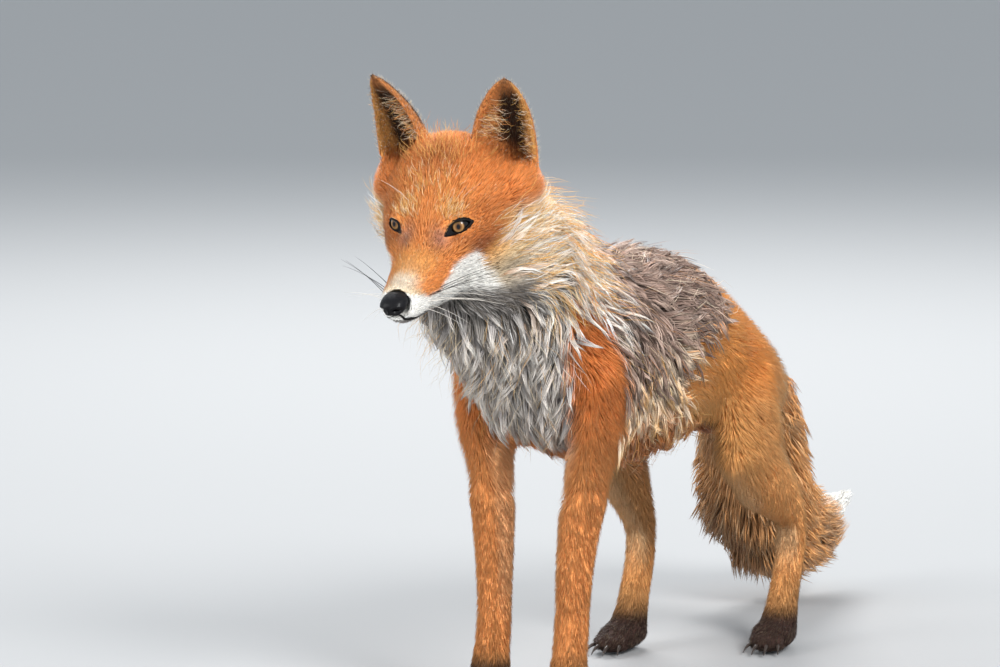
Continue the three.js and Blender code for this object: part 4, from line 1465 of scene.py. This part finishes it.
def nose_mesh():
    """The nose leather: a rounded block with comma nostrils, their slits and a groove down its middle."""
    ball = globe(np.linspace(0, math.pi, 81)[1:-1], 128)
    l, w, f = np.concatenate([ball.reshape(-1, 3), POLES]).T  # its poles are ahead and behind
    place_l, place_f, place_u = NOSE["place"]
    half = np.array(NOSE["half"])
    square = (abs(l) ** SQUARE + abs(w) ** SQUARE + abs(f) ** SQUARE) ** (-1 / SQUARE)
    x, z, y = l * square * half[0], w * square * half[2], f * square * half[1]
    x = x * (1 + 0.012 * z - 0.045 * np.maximum(-z - 1, 0))
    y = y - 0.035 * np.maximum(-z, 0) ** 1.5 + 0.4 * bump(z - 5, 3)
    a = abs(x)
    ahead = smooth(-1, 4, y)
    hole = np.sqrt(((a - 5.2) / 2.6) ** 2 + ((z + 0.6) / 2.1) ** 2)
    t = np.clip((a - 6) / 5.5, 0, 1)
    slit = bump(z + 0.8 + 1.6 * t, 0.75) * smooth(5.6, 7.0, a) * smooth(-7, -2, y)
    dig = 4.2 * bump(hole, 0.95) * ahead + 1.9 * slit - 0.6 * bump(hole - 1.7, 0.5) * ahead
    dig += 1.0 * bump(x, 0.75) * smooth(2.5, -1.5, z) * ahead
    n = unit(np.stack([x / half[0] ** 2, y / half[1] ** 2, z / half[2] ** 2], 1))
    px, py, pz = (np.stack([x, y, z], 1) - n * dig[:, None]).T
    c, s = math.cos(NOSE_TILT), math.sin(NOSE_TILT)
    local = np.stack([px + place_l, -(py * c - pz * s + place_f), py * s + pz * c + place_u], 1) * MM
    points = HEAD + local @ HEAD_AXES.T
    return write("nose", *closed(points[:-2].reshape(ball.shape), points[-2:]))


place("nose_leather", nose_mesh(), NOSE_PAINT, "nose", ["nose"])


def lips():
    """The dark edge of the lips, thickest in front."""
    made = []
    for side, (spots, outs) in LIPS.items():
        t = np.linspace(0, 1, len(spots))
        thick = 0.55 + 0.75 * bump(t - 0.3, 0.2) - 0.3 * t
        thick *= 1 if side > 0 else 0.35 + 0.65 * smooth(0.3, 0.6, t)
        made.append(tube(spots + outs * (0.5 if side > 0 else 0.2) * MM, thick * MM))
    return joined(made)


place("lips", write("lips", *lips()), RIM_PAINT, "nose")


# ------------------------------------------------------------------ whiskers and claws
# Whiskers of the left side: forward and up of the root in the head's frame, way, length and droop.
WHISKERS = [
    ((53, -31), (0.75, -0.55, 0.28), 58, 0.10), ((48, -32.5), (0.78, -0.55, 0.22), 66, 0.10),
    ((43, -33), (0.80, -0.52, 0.16), 62, 0.12), ((39, -31), (0.76, -0.58, 0.24), 52, 0.08),
    ((56, -34.5), (0.80, -0.42, 0.02), 50, 0.16), ((50, -36.5), (0.80, -0.48, -0.06), 56, 0.18),
    ((44, -37.5), (0.78, -0.55, -0.14), 54, 0.18), ((37, -37), (0.72, -0.62, -0.16), 46, 0.16),
    ((58, -39), (0.70, -0.30, -0.35), 32, 0.2), ((48, -41), (0.66, -0.40, -0.42), 34, 0.2),
]
DARK_WHISKERS = 4  # so many of them, the first ones, are dark
# Whiskers over the left eye: place in the head's frame, way and length.
BROW_WHISKERS = [((20, 10, 17), (0.55, 0.15, 0.75), 34), ((24, 8, 18), (0.70, 0.05, 0.66), 40),
                 ((17, 12, 16), (0.4, 0.3, 0.8), 28)]


def whisker(side, start, line, way, long, droop, thick):
    """A whisker from where a line through its start meets the skin."""
    root, _ = on_skin(start, line)
    t = np.linspace(0, 1, 12)[:, None]
    path = root + head_way(*on_side(side, way)) * (long * MM) * t
    path = path - np.array([0, 0, 1]) * (droop * long * MM) * t ** 2
    return tube(path, thick * MM * (1 - 0.82 * t[:, 0]), 5)


def whiskers(dark):
    """The dark whiskers in front, or the pale ones below and over the eyes."""
    chosen, thick = (WHISKERS[:DARK_WHISKERS], 0.3) if dark else (WHISKERS[DARK_WHISKERS:], 0.2)
    brows = [] if dark else BROW_WHISKERS
    made = []
    for side in (1, -1):
        made += [whisker(side, (0, f, u), (-side, 0, 0), way, long, droop, thick)
                 for (f, u), way, long, droop in chosen]
        made += [whisker(side, on_side(side, start), (0, -1, 0), way, 0.7 * long, 0.15, 0.15)
                 for start, way, long in brows]
    return joined(made)


PALE_HAIR = dark_skin_material("whisker_pale", "#b9b2a8", 900.0, 0.4, 0.0)
place("whiskers_dark", write("whiskers", *whiskers(True)), RIM_PAINT, "nose")
place("whiskers_pale", write("whiskers", *whiskers(False)), PALE_HAIR, "fur_cream")


# Each paw's place, left of and ahead of the middle of the body, and how many degrees it turns out.
PAWS = {"forepaw_left": (34, 228, 4), "forepaw_right": (-37, 221, -4), "hindpaw_left": (60, -132, 5),
        "hindpaw_right": (-52, -72, -4)}
PAW_LONG = 62  # millimetres


def claws():
    """Four curved claws on each paw."""
    made = []
    for left, forward, yaw in PAWS.values():
        for splay in (-19, -6, 6, 19):
            back = 0.08 * PAW_LONG if abs(splay) > 10 else 0
            t = np.linspace(0, 1, 7)
            path = np.stack([0 * t, -(0.66 * PAW_LONG - back + 11 * t), 8.5 - 0.5 * t - 5.5 * t ** 2.2], 1)
            turn = math.radians(splay + yaw)
            c, s = math.cos(turn), math.sin(turn)
            path = path @ np.array([[c, s, 0], [-s, c, 0], [0, 0, 1]])
            made.append(tube(BODY + (path + [left, -forward, 0]) * MM, 1.75 * MM * (1 - t ** 1.6 * 0.86)))
    return joined(made)


CLAW_PAINT = dark_skin_material("claw", "#2b2420", 700.0, 0.35, 0.2)
place("claws", write("claws", *claws()), CLAW_PAINT, "nose")
